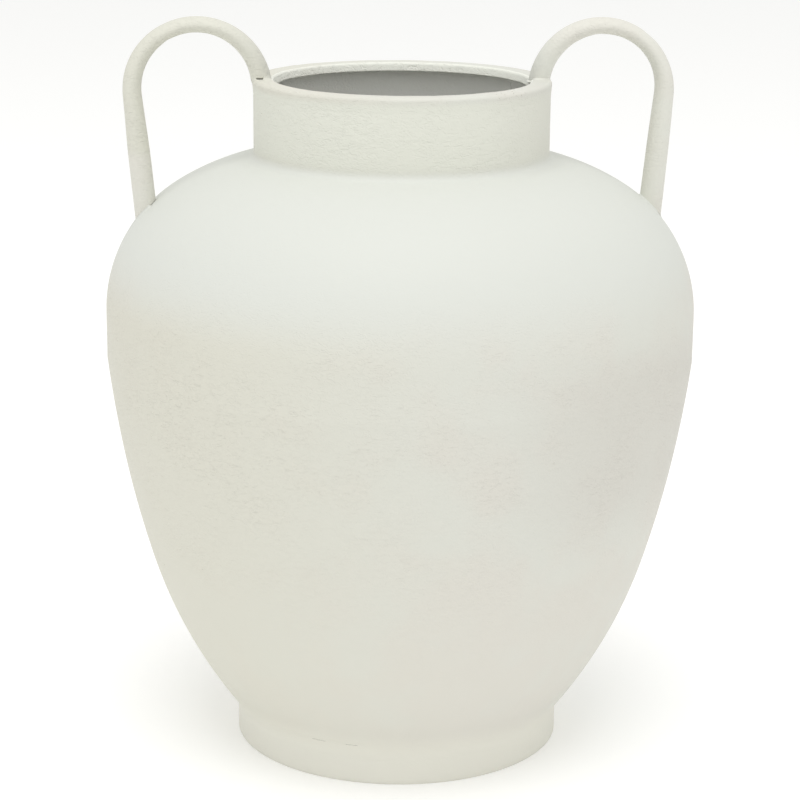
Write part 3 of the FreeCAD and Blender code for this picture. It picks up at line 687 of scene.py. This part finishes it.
def makeBowl():
    side = bowlSide()
    # The base corner is rounded between the floor and the first stretch of the side
    corner = rounded([(0, bowlLow, 0), (*side[0], bowl["baseBend"]), (*side[1], 0)])
    outer = divided(corner[:2], bowl["step"])[:-1] + corner[1:] + side[2:]
    outer.insert(-1, partWay(outer[-1], outer[-2], bowl["brim"]))
    inner = offsetLine(outer, sheet)
    inner[0] = (0, bowlLow + sheet)
    inner[-1] = (bellyRadius - sheet, bowlTop)
    spunPiece("bowlShell", "lower_bowl", outer + inner[::-1], bowl,
              lining=[0.0] * len(outer) + [1.0] * len(inner), closed=False)


dome = {
    "bandHeight": 23.1 * mm,
    "kneeAcross": 0.534,  # shares of the dome's width and rise where the knuckle ends
    "kneeUp": 0.803,
    "holeGap": 0.3 * mm,
    "step": 3.0 * mm,
    **skin,
}
bandTop = (domeLow + bowlTop) / 2 + dome["bandHeight"]
knee = (neckRadius + dome["kneeAcross"] * (bellyRadius - neckRadius),
        bandTop + dome["kneeUp"] * (domeTop - bandTop))
kneeCentre = tangentCentre((bellyRadius, bandTop), math.pi / 2, knee)
kneeRadius = math.dist(kneeCentre, knee)
hole = (neckRadius + dome["holeGap"], domeTop)
kneeHeading = math.atan2(knee[1] - kneeCentre[1], knee[0] - kneeCentre[0]) + math.pi / 2
crownCentre = tangentCentre(knee, kneeHeading, hole)
crownRadius = math.dist(crownCentre, hole)


def shoulderHeight(across):  # of the dome's outside at a distance from the axis
    centre, radius = (kneeCentre, kneeRadius) if across > knee[0] else (crownCentre, crownRadius)
    return centre[1] + math.sqrt(max(radius ** 2 - (across - centre[0]) ** 2, 0.0))


def makeDome():
    bottom, top = (bellyRadius, domeLow), (bellyRadius, bandTop)
    outer = divided([bottom, top], dome["step"])[:-1] + arcBetween(kneeCentre, top, knee, dome["step"])
    outer.insert(1, partWay(bottom, top, bowl["brim"]))
    outer += arcBetween(crownCentre, knee, hole, dome["step"])[1:]
    inner = offsetLine(outer, sheet)
    spunPiece("domeShell", "shoulder_dome", outer + inner[::-1], dome,
              lining=[0.0] * len(outer) + [1.0] * len(inner))


makeBowl()
makeDome()
print("shells spun")


# Neck, rim and foot

collar = {
    "step": 2.5 * mm,
    "edge": 0.15 * mm,
    **skin,
}
rim = {
    "width": 10.2 * mm,
    "lip": 4.8 * mm,
    "funnel": 1.2 * mm,  # how far the lip leans into the mouth
    "bend": 2.0 * mm,
    "lipEdge": 0.5 * mm,
    "skirt": 9.0 * mm,  # how far the ground corner weld runs down the neck
    "sunk": 0.12 * mm,
    "flare": 0.45 * mm,
    "edge": 2.7 * mm,
    "flareBend": 15.0 * mm,
    "round": 1.9 * mm,
    "roundEnd": 0.98,  # share of a rounding that still counts as the rim's top
    "bendSteps": 6,
    "step": 1.0 * mm,
    "loosening": 1.6,  # how soon the unevenness is full above the skirt's end
    "facets": 320,
    "dent": 0.20 * mm,
    "dentScale": 100.0,
    "wander": 0.18 * mm,
    "wanderScale": 80.0,
    "seed": 11,
    "outside": "sandPaint",
    "inside": "lipPaintedLight",
}
foot = {
    "step": 2.5 * mm,
    "facets": 256,
    "dent": 0.12 * mm,
    "dentScale": 28.0,
    "edge": 0.25 * mm,
    "seed": 14,
    "outside": "sandPaint",
    "inside": "innerPaintedLight",
}


def makeStrip(name, node, outside, low, high, values):
    inside = outside - sheet
    edge = values["edge"]
    outer = divided([(outside, low + edge), (outside, high - edge)], values["step"])
    inner = divided([(inside, high - edge), (inside, low + edge)], values["step"])
    section = outer + [(outside - edge, high), (inside + edge, high)]
    section += inner + [(inside + edge, low), (outside - edge, low)]
    lining = [0.0] * (len(outer) + 1) + [1.0] * (len(inner) + 2) + [0.0]
    spunPiece(name, node, section, values, lining=lining)


def makeRim():  # the pressed ring with the weld that was ground round at its corner
    inside, flare = neckRadius - rim["width"], neckRadius + rim["flare"]
    bottom, low = rimTop - rim["lip"], rimTop - rim["skirt"]
    section = rounded([
        (inside - rim["funnel"], bottom, rim["lipEdge"]),
        (inside - rim["funnel"] + sheet, bottom, rim["lipEdge"]),
        (inside + sheet, rimTop - sheet, rim["bend"] - sheet),
        (neckRadius - sheet / 2, rimTop - sheet, 0),
        (neckRadius - sheet / 2, low, 0),
        (neckRadius - rim["sunk"], low, 0),
        (flare, rimTop - rim["edge"], rim["flareBend"]),
        (flare, rimTop, rim["round"]),
        (inside, rimTop, rim["bend"]),
    ], rim["bendSteps"])
    section = divided(section, rim["step"], closed=True)
    loose = [max(0.0, min(1.0, (up - low) / rim["skirt"] * rim["loosening"])) for _, up in section]
    lining = [float(across < inside + rim["bend"] / 2) for across, _ in section]
    spunPiece("rimShell", "rim_ring rim_weld", section, rim, loose=loose, lining=lining)


def rimHeight(across):  # of the rim's top at a distance from the axis
    inner = neckRadius - rim["width"] + rim["bend"]
    outer = neckRadius + rim["flare"] - rim["round"]
    over, radius = (inner - across, rim["bend"]) if across < inner else (across - outer, rim["round"])
    over = min(max(over, 0.0), radius * rim["roundEnd"])
    return rimTop - radius + math.sqrt(radius ** 2 - over ** 2)


makeStrip("neckShell", "neck_collar", neckRadius, collarLow, collarTop, collar)
makeRim()
makeStrip("footShell", "foot_ring", footRadius, 0.0, footTop, foot)
print("neck, rim and foot rolled")


# Weld beads that run round the axis

bellyBead = {
    "proud": 0.025 * mm,
    "lap": 2.4 * mm,  # how far it runs out onto both shells
    "full": 0.3,  # shares of the lap where it is fully and half proud
    "half": 0.7,
    "sunk": 0.06 * mm,
    "inner": 0.6 * mm,  # how proud it is inside
    "innerLap": 0.6 * mm,
    **skin,
}
neckBead = {
    "leg": 4.0 * mm,
    "past": 1.5 * mm,  # how far its thin ends run on
    "sunk": 0.08 * mm,
    "steps": 12,
    **skin,
}
seamBead = {
    "width": 2.0 * mm,
    "proud": 0.4 * mm,
    "flush": 0.03 * mm,  # how proud it is outside, where it was ground
    "flushLoose": 0.2,
    "collarTurn": 37.0,  # degrees round the axis; seen inside, right of the middle
    "footTurn": 95.0,  # behind, where the photo doesn't show it
    "step": 0.8 * mm,
    "facets": 6,
    "dent": 0.25 * mm,
    "dentScale": 420.0,
    "seed": 27,
    "outside": "weldPaint",
    "inside": "innerPaintedLight",
}


def makeBellySeam():
    lap, proud, sunk = bellyBead["lap"], bellyBead["proud"], bellyBead["sunk"]
    full, half = lap * bellyBead["full"], lap * bellyBead["half"]
    side = bowlSide()
    inner = bellyRadius - sheet

    def onBowl(depth, out):  # off the bowl's outside, at a distance below its brim
        across, up = partWay(side[-1], side[-2], depth)
        return across + out, up

    section = [
        onBowl(lap, -sunk), onBowl(half, proud / 2), onBowl(full, proud),
        (bellyRadius + proud, bowlTop), (bellyRadius + proud, domeLow),
        (bellyRadius + proud / 2, domeLow + half), (bellyRadius - sunk, domeLow + lap),
        (bellyRadius - sheet / 2, domeLow + lap), (inner, domeLow + bellyBead["innerLap"]),
        (inner - bellyBead["inner"], (bowlTop + domeLow) / 2), (inner, bowlTop - bellyBead["innerLap"]),
        onBowl(lap, -sheet / 2),
    ]
    spunPiece("bellySeam", "belly_weld", section, bellyBead,
              lining=[0.0] * 7 + [1.0] * 5)


def onHollow(start, corner, end, share):  # of a concave face that leaves along the corner's two sides
    return start * (1 - share) ** 2 + corner * (2 * share * (1 - share)) + end * share ** 2


def hollowFace(start, corner, end, steps):
    return [onHollow(start, corner, end, index / steps) for index in range(steps + 1)]


def makeNeckFillet():
    leg, sunk, past = neckBead["leg"], neckBead["sunk"], neckBead["past"]
    reach = neckRadius + leg
    beyond = reach + past
    toe = Vector((reach, shoulderHeight(reach)))
    slope = (shoulderHeight(reach) - shoulderHeight(beyond)) / past
    corner = Vector((neckRadius, toe.y + slope * leg))
    top = corner + Vector((0, leg))
    inside = neckRadius - sheet / 2
    section = [(neckRadius - sunk, top.y + past)] + hollowFace(top, corner, toe, neckBead["steps"]) + [
        (beyond, shoulderHeight(beyond) - sunk), (neckRadius + leg / 2, domeTop - sheet),
        (inside, domeTop - sheet), (inside, top.y)]
    spunPiece("neckFillet", "neck_weld", section, neckBead)


def makeUprightSeam(name, node, radius, low, high, azimuth):
    values = dict(seamBead, sweep=math.degrees(seamBead["width"] / radius))
    values["start"] = azimuth - values["sweep"]
    inner = radius - sheet - seamBead["proud"]
    face = divided([(inner, low), (inner, high)], seamBead["step"])
    outer, loose = radius + seamBead["flush"], seamBead["flushLoose"]
    section = face + [(outer, high), (outer, low)]
    spunPiece(name, node, section, values,
              loose=[1.0] * len(face) + [loose] * 2, lining=[1.0] * len(face) + [0.0] * 2)


footJoint = {
    "down": 4.0 * mm,  # how far it runs down the foot
    "reach": 1.0 * mm,  # past the bowl's first stretch
    "past": 1.5 * mm,  # how far its thin ends run on
    "sunk": 0.15 * mm,
    "behind": 0.6 * mm,
    "tail": 1.0 * mm,
    "root": ((0.3 * mm, 0.5 * mm), (-0.6 * mm, -0.3 * mm)),  # from where foot and bowl meet
    "steps": 12,
    "facets": 900,
    "cracks": [  # start and end in degrees, opening
        (230.1, 235.8, 0.4),
        (236.3, 242.4, 1.0),
        (245.4, 248.1, 0.4),
        (248.5, 253.4, 1.0),
    ],
    "crackPlace": 0.90,  # share of the way from foot to bowl
    "crackSpan": 0.017,
    "crackEdges": (-2, -1, -0.5, 0.5, 1, 2),  # points across it, in spans; the middle two open
    "crackDepth": 0.9 * mm,
    "crackHeading": (-0.8, 0.6),
    "darkFrom": 0.5,  # opening from which the gap's faces take the near-black painted shade
    "fade": 0.8,  # degrees
    "dash": 0.8,  # breaks to the degree
    "stray": 0.02,
    "strayScale": 24.0,
    "seed": 29,
}


def crackOpening(turn):  # 0 where the joint is whole, 1 where it stands open; turn in degrees
    share = max(most * min(1.0, min(turn - start, end - turn) / footJoint["fade"])
                for start, end, most in footJoint["cracks"])
    dash = 1.0 + noise.noise(Vector((turn * footJoint["dash"], 0.5, footJoint["seed"])))
    return max(0.0, share) * max(0.0, min(1.0, dash))


def loopFaces(count, width):  # quads between closed sections that follow each other round a closed path
    return [(step * width + side, (step + 1) % count * width + side,
             (step + 1) % count * width + (side + 1) % width, step * width + (side + 1) % width)
            for step in range(count) for side in range(width)]


def meshPiece(name, nodes, points, faces, materials, inside=()):
    mesh = bpy.data.meshes.new(name)
    mesh.from_pydata(points, [], faces)
    for material in materials:
        mesh.materials.append(looks[material])
    for index in inside:
        mesh.polygons[index].material_index = 1
    mesh.shade_smooth()
    closeUp(mesh)
    return showPiece(name, mesh, nodes)


def makeFootJoint():
    side = bowlSide()
    along = (Vector(side[2]) - Vector(side[0])).normalized()
    end = Vector(side[1]) + along * footJoint["reach"]
    inward = Vector((-along.y, along.x))
    corner = Vector((footRadius, end.y - (end.x - footRadius) * along.y / along.x))
    start = Vector((footRadius, corner.y - footJoint["down"]))
    back = [end + along * footJoint["past"] + inward * footJoint["sunk"],
            end + inward * footJoint["behind"]]
    back += [Vector((footRadius + across, bowlLow + up)) for across, up in footJoint["root"]]
    back += [Vector((footRadius - footJoint["behind"], start.y - footJoint["tail"])),
             Vector((footRadius - footJoint["sunk"], start.y - footJoint["past"]))]
    span = footJoint["crackSpan"]
    crackSides = [span * place for place in footJoint["crackEdges"]]
    depth = Vector(footJoint["crackHeading"]) * footJoint["crackDepth"]
    shares = [index / footJoint["steps"] for index in range(footJoint["steps"] + 1)]
    low = [share for share in shares if share < footJoint["crackPlace"] - 3 * span]
    high = [share for share in shares if share > footJoint["crackPlace"] + 3 * span]
    width = len(low) + len(crackSides) + len(high) + len(back)
    points, paintedShadeFaces = [], []
    for step in range(footJoint["facets"]):
        angle = 2 * math.pi * step / footJoint["facets"]
        heading = Vector((math.cos(angle), math.sin(angle), 0))
        opening = crackOpening(math.degrees(angle))
        stray = noise.noise(heading * footJoint["strayScale"])
        crack = footJoint["crackPlace"] + footJoint["stray"] * stray
        section = []
        for share in low + [crack + shift for shift in crackSides] + high:
            spot = onHollow(start, corner, end, share)
            if abs(share - crack) < 0.75 * span:
                spot += depth * opening
            section.append(spot)
        points += [heading * spot.x + Vector((0, 0, spot.y)) for spot in section + back]
        # Painted shade: faces in a wide enough crack take the near-black gap colour.
        if opening > footJoint["darkFrom"]:
            paintedShadeFaces += [step * width + len(low) + place for place in (1, 2, 3)]
    meshPiece("footJoint", "foot_weld foot_tack_weld", points,
              loopFaces(footJoint["facets"], width), ("sandPaint", "gapPaintedShade"), paintedShadeFaces)


makeBellySeam()
makeNeckFillet()
makeUprightSeam("collarSeam", "collar_seam_weld", neckRadius, collarLow, rimTop - rim["lip"],
                seamBead["collarTurn"])
makeUprightSeam("footSeam", "foot_seam_weld", footRadius, 0.0, footTop, seamBead["footTurn"])
makeFootJoint()
print("round beads laid")


# Handles of bent tube, worked out at +X; the left one is turned half round the axis

tube = {
    "width": 12.2 * mm,
    "wall": 1.2 * mm,
    "arcDrop": 5.9 * mm,  # of the bend's centre below the rim
    "footGap": 0.3 * mm,
    "bendPlaces": (0.0, 0.2, 0.48, 0.8, 1.0),  # shares of the bend from the rim end
    "legPlaces": (0.45, 1.0),
    "beyond": 15.0 * mm,
    "widening": 0.6,
    "around": 56,
    "along": 200,
    "wobble": 0.16 * mm,
    "wobbleScale": 30.0,
}
handles = {
    "left": {
        "side": -1,
        "rimEndInset": 4.0 * mm,
        "footInset": 21.2 * mm,
        "bendShare": 0.553,
        "bendThickness": (0.90, 0.77, 0.68, 0.75, 0.81),  # shares of the width; bending flattens the tube
        "legThickness": (0.93, 0.96),
        "rimGap": 0.6 * mm,
        "nicks": [  # share of the bend, degrees round the tube, depth, spread
            (0.65, 170.0, 1.1 * mm, 1.3 * mm),
            (0.62, 20.0, 0.20 * mm, 4.0 * mm),
        ],
        "rimOpenings": [(74.0, 120.0, 1.0)],  # start and end in degrees round the tube, share
        "footOpenings": [(118.0, 190.0, 1.0)],
        "seed": 2.0,
    },
    "right": {
        "side": 1,
        "rimEndInset": 5.5 * mm,
        "footInset": 22.6 * mm,
        "bendShare": 0.546,
        "bendThickness": (0.92, 0.83, 0.71, 0.73, 0.84),
        "legThickness": (0.96, 0.985),
        "rimGap": 0.3 * mm,
        "nicks": [
            (0.45, 190.0, 0.20 * mm, 3.0 * mm),
            (0.70, 0.0, 0.22 * mm, 3.5 * mm),
        ],
        "rimOpenings": [(300.0, 355.0, 0.12), (231.0, 243.0, 0.3)],
        "footOpenings": [(305.0, 340.0, 0.7)],
        "seed": 9.0,
    },
}


class HandleLine:  # the middle line of one handle and the oval tube round it
    def __init__(self, values):
        self.side = values["side"]
        self.seed = values["seed"]
        rimEnd = neckRadius - values["rimEndInset"]
        foot = bellyRadius - values["footInset"]
        self.bend = (foot - rimEnd) * values["bendShare"]
        self.centre = (rimEnd + math.sqrt(self.bend ** 2 - tube["arcDrop"] ** 2), rimTop - tube["arcDrop"])
        joint = (foot, shoulderHeight(foot))
        aside, below = joint[0] - self.centre[0], self.centre[1] - joint[1]
        leg = math.sqrt(aside ** 2 + below ** 2 - self.bend ** 2)
        self.turned = math.pi + math.atan2(below, aside) - math.atan2(leg, self.bend)
        self.bendRun = self.bend * self.turned
        legRun = leg + tube["beyond"]
        self.endRun = self.bendRun + legRun
        self.stops = [(self.bendRun * place, share)
                      for place, share in zip(tube["bendPlaces"], values["bendThickness"])]
        self.stops += [(self.bendRun + legRun * place, share)
                       for place, share in zip(tube["legPlaces"], values["legThickness"])]

    def thickness(self, run):  # smooth between the stops
        index = max(0, min(len(self.stops) - 2, sum(run > place for place, _ in self.stops) - 1))
        (low, first), (high, last) = self.stops[index:index + 2]
        before, after = self.stops[max(index - 1, 0)], self.stops[min(index + 2, len(self.stops) - 1)]
        startSlope = (last - before[1]) / (high - before[0]) * (high - low)
        endSlope = (after[1] - first) / (after[0] - low) * (high - low)
        share = max(0.0, min(1.0, (run - low) / (high - low)))
        square, cube = share ** 2, share ** 3
        return ((2 * cube - 3 * square + 1) * first + (cube - 2 * square + share) * startSlope
                + (3 * square - 2 * cube) * last + (cube - square) * endSlope)

    def middle(self, run):
        swing, beyond = min(run / self.bend, self.turned), max(0.0, run - self.bendRun)
        across = self.centre[0] - self.bend * math.cos(swing) + beyond * math.sin(swing)
        up = self.centre[1] + self.bend * math.sin(swing) + beyond * math.cos(swing)
        return Vector((across * self.side, 0, up)), swing

    def point(self, run, around, inset=0.0):  # around is 0 on the side away from the bend's centre
        middle, swing = self.middle(run)
        share = self.thickness(run)
        thin = tube["width"] * share / 2 - inset
        wide = tube["width"] * (1 + tube["widening"] * (1 - share)) / 2 - inset
        out = thin * math.cos(around)
        return middle + Vector((-math.cos(swing) * out * self.side, wide * math.sin(around) * self.side,
                                math.sin(swing) * out))

    def search(self, low, high, isBefore):  # the run where a condition ends
        for _ in range(30):
            half = (low + high) / 2
            low, high = (half, high) if isBefore(half) else (low, half)
        return (low + high) / 2

    def clearance(self, run, around, inset, surface):  # height above the rim or the shoulder
        spot = self.point(run, around, inset)
        return spot.z - surface(math.hypot(spot.x, spot.y))

    def rimRun(self, around, inset, gap):
        return self.search(0.0, self.bend,
                           lambda run: self.clearance(run, around, inset, rimHeight) < gap)

    def footRun(self, around, inset, gap):
        return self.search(self.bendRun, self.endRun,
                           lambda run: self.clearance(run, around, inset, shoulderHeight) > gap)


def ringFaces(first, second, count):  # quads between two closed rings of points
    return [(first + step, first + (step + 1) % count, second + (step + 1) % count, second + step)
            for step in range(count)]


def makeHandle(name, node, line, values):
    around, along = tube["around"], tube["along"]
    angles = [2 * math.pi * step / around for step in range(around)]
    nicks = [(line.point(line.bendRun * place, math.radians(angle)), depth, spread)
             for place, angle, depth, spread in values["nicks"]]
    walls = []
    for inset in (0.0, tube["wall"]):
        ends = [(line.rimRun(angle, inset, values["rimGap"]), line.footRun(angle, inset, tube["footGap"]))
                for angle in angles]
        for step in range(along + 1):
            for angle, (first, last) in zip(angles, ends):
                run = first + (last - first) * step / along
                spot = line.point(run, angle, inset)
                outward = (spot - line.middle(run)[0]).normalized()
                push = noise.noise(spot * tube["wobbleScale"] + Vector((line.seed, 0, 0))) * tube["wobble"]
                for place, depth, spread in nicks:
                    push -= depth * math.exp(-((spot - place).length / spread) ** 2)
                walls.append(spot + outward * push)
    inner = (along + 1) * around
    faces = []
    for step in range(along):
        faces += ringFaces(step * around, (step + 1) * around, around)
    bore = len(faces)
    for step in range(along):
        faces += ringFaces(inner + (step + 1) * around, inner + step * around, around)
    faces += ringFaces(inner, 0, around)
    faces += ringFaces(along * around, inner + along * around, around)
    # The bore and the tube's ends take the near-black painted shade.
    meshPiece(name, node, walls, faces, ("handlePaint", "gapPaintedShade"),
              range(bore, len(faces)))


bead = {
    "shoulder": 1.5 * mm,
    "shoulderLeast": 0.04 * mm,  # what is left of it where it stands open
    "rim": 0.9 * mm,
    "rimLeast": 0.03 * mm,
    "steps": 6,
    "sunk": 0.05 * mm,
    "root": 0.9 * mm,  # how deep its back lies in the tube's wall
    "rootRuns": (0.8 * mm, 0.1 * mm),  # how far its back lies past the shoulder
    "droop": 0.8,  # how steeply its toe drops over the rim's edge
    "uneven": 0.25,
    "unevenScale": 120.0,
    "rimSeed": 4.0,
    "fade": 14.0,  # degrees
    "around": 160,
}


def openness(angle, openings):  # how far a bead stands open at an angle, with soft ends
    share = 0.0
    for start, end, most in openings:
        for turn in (0.0, 360.0):
            edge = min(math.degrees(angle) + turn - start, end - math.degrees(angle) - turn)
            share = max(share, most * max(0.0, min(1.0, edge / bead["fade"] + 0.5)))
    return share


def unevenness(spot, seed):
    return 1 + bead["uneven"] * noise.noise(spot * bead["unevenScale"] + Vector((0, seed, 0)))


def beadToe(line, run, corner, size):  # a size away from the corner, level
    away = corner - line.middle(run)[0]
    away.z = 0
    return corner + away.normalized() * size


def beadPiece(name, node, points, paint):
    width = len(points) // bead["around"]
    meshPiece(name, node, points, loopFaces(bead["around"], width), (paint,))


def makeShoulderBead(name, node, line, values):
    points = []
    sunk, root = bead["sunk"], bead["root"]
    for step in range(bead["around"]):
        angle = 2 * math.pi * step / bead["around"]
        run = line.footRun(angle, 0.0, 0.0)
        corner = line.point(run, angle)
        shut = 1 - openness(angle, values["footOpenings"])
        size = bead["shoulder"] * unevenness(corner, line.seed) * shut + bead["shoulderLeast"]
        toe = beadToe(line, run, corner, size)
        toe.z = shoulderHeight(math.hypot(toe.x, toe.y)) - sunk
        points += hollowFace(line.point(run - size, angle, sunk), corner, toe, bead["steps"])
        points += [line.point(run + beyond, angle, root) for beyond in bead["rootRuns"]]
    beadPiece(name, node, points, "sandPaint")


def makeRimEndBead(name, node, line, values):
    points = []
    sunk, root = bead["sunk"], bead["root"]
    edge = neckRadius + rim["flare"] - sunk
    for step in range(bead["around"]):
        angle = 2 * math.pi * step / bead["around"]
        run = line.rimRun(angle, 0.0, 0.0)
        corner = line.point(run, angle)
        shut = 1 - openness(angle, values["rimOpenings"])
        full = bead["rim"] * unevenness(corner, line.seed + bead["rimSeed"]) + values["rimGap"]
        size = full * shut + bead["rimLeast"]
        toe = beadToe(line, run, corner, size)
        reach = math.hypot(toe.x, toe.y)
        within = min(reach, edge)
        toe *= within / reach
        toe.z = rimHeight(within) - sunk - (reach - within) * bead["droop"]
        points += hollowFace(line.point(run + size, angle, sunk), corner, toe, bead["steps"])
        points += [line.point(run, angle, root) - Vector((0, 0, sunk)),
                   line.point(run + values["rimGap"] * shut, angle, root)]
    beadPiece(name, node, points, "handlePaint")


for side, values in handles.items():
    line = HandleLine(values)
    makeHandle(f"{side}Handle", f"{side}_handle", line, values)
    makeShoulderBead(f"{side}ShoulderBead", f"{side}_handle_shoulder_weld", line, values)
    makeRimEndBead(f"{side}RimBead", f"{side}_handle_rim_weld", line, values)
print("handles bent and welded on")


# Paint nibs, scattered where the paint is rough

nibs = {
    "rim": {
        "on": "rimShell",
        "low": (0.030, -0.066, 0.3535),  # corners of the box that they lie in
        "high": (0.058, -0.034, 0.356),
        "density": 70000.0,  # to the square metre
        "radius": 0.34 * mm,
        "seed": 4,
    },
    "neck": {
        "on": "neckShell",
        "low": (-0.080, -0.080, 0.322),
        "high": (0.080, 0.0, 0.350),
        "density": 3200.0,
        "radius": 0.26 * mm,
        "seed": 6,
    },
    "body": {
        "on": "bowlShell",
        "low": (-0.16, -0.16, 0.10),
        "high": (0.16, 0.16, 0.205),
        "density": 260.0,
        "radius": 0.30 * mm,
        "seed": 7,
    },
}
nibShares = (0.45, 1.15)  # smallest and largest, of the radius


def nibTree():
    build, entry = geometryTree("scatterNibs", {
        "Surface": "Geometry", "Low": "Vector", "High": "Vector", "Density": "Float", "Radius": "Float",
        "Seed": "Int", "Paint": "Material"})
    place = build.wire("GeometryNodeInputPosition", 0)

    def beyond(operation, corner):
        settings = {"data_type": "VECTOR", "operation": operation, "mode": "ELEMENT"}
        return build.wire("FunctionNodeCompare", 0, settings, {4: place, 5: corner})

    within = build.wire("FunctionNodeBooleanMath", 0, {"operation": "AND"}, {
        0: beyond("GREATER_THAN", entry["Low"]), 1: beyond("LESS_THAN", entry["High"])})
    scattered = build.wire("GeometryNodeDistributePointsOnFaces", 0, None, {
        "Mesh": entry["Surface"], "Selection": within, "Density": entry["Density"], "Seed": entry["Seed"]})
    grain = build.wire("GeometryNodeMeshIcoSphere", 0, None, {"Radius": entry["Radius"], "Subdivisions": 2})
    size = build.wire("FunctionNodeRandomValue", 1, {"data_type": "FLOAT"}, {
        2: nibShares[0], 3: nibShares[1], "Seed": entry["Seed"]})
    spread = build.wire("GeometryNodeInstanceOnPoints", 0, None, {
        "Points": scattered, "Instance": grain, "Scale": size})
    real = build.wire("GeometryNodeRealizeInstances", 0, None, {"Geometry": spread})
    smooth = build.wire("GeometryNodeSetShadeSmooth", 0, None, {"Geometry": real})
    painted = build.wire("GeometryNodeSetMaterial", 0, None, {
        "Geometry": smooth, "Material": entry["Paint"]})
    build.node("NodeGroupOutput", None, {"Geometry": painted})
    return build.tree


scatter = nibTree()
for spot, values in nibs.items():
    item = bpy.data.objects.new("nibSurface", bpy.data.objects[values["on"]].data.copy())
    bpy.context.scene.collection.objects.link(item)
    mesh = plainMesh(item, scatter, {
        "Low": values["low"], "High": values["high"], "Density": values["density"],
        "Radius": values["radius"], "Seed": values["seed"], "Paint": looks["sandPaint"]})
    bpy.data.objects.remove(item)
    showPiece(f"{spot}Nibs", mesh, None)
print("nibs scattered")
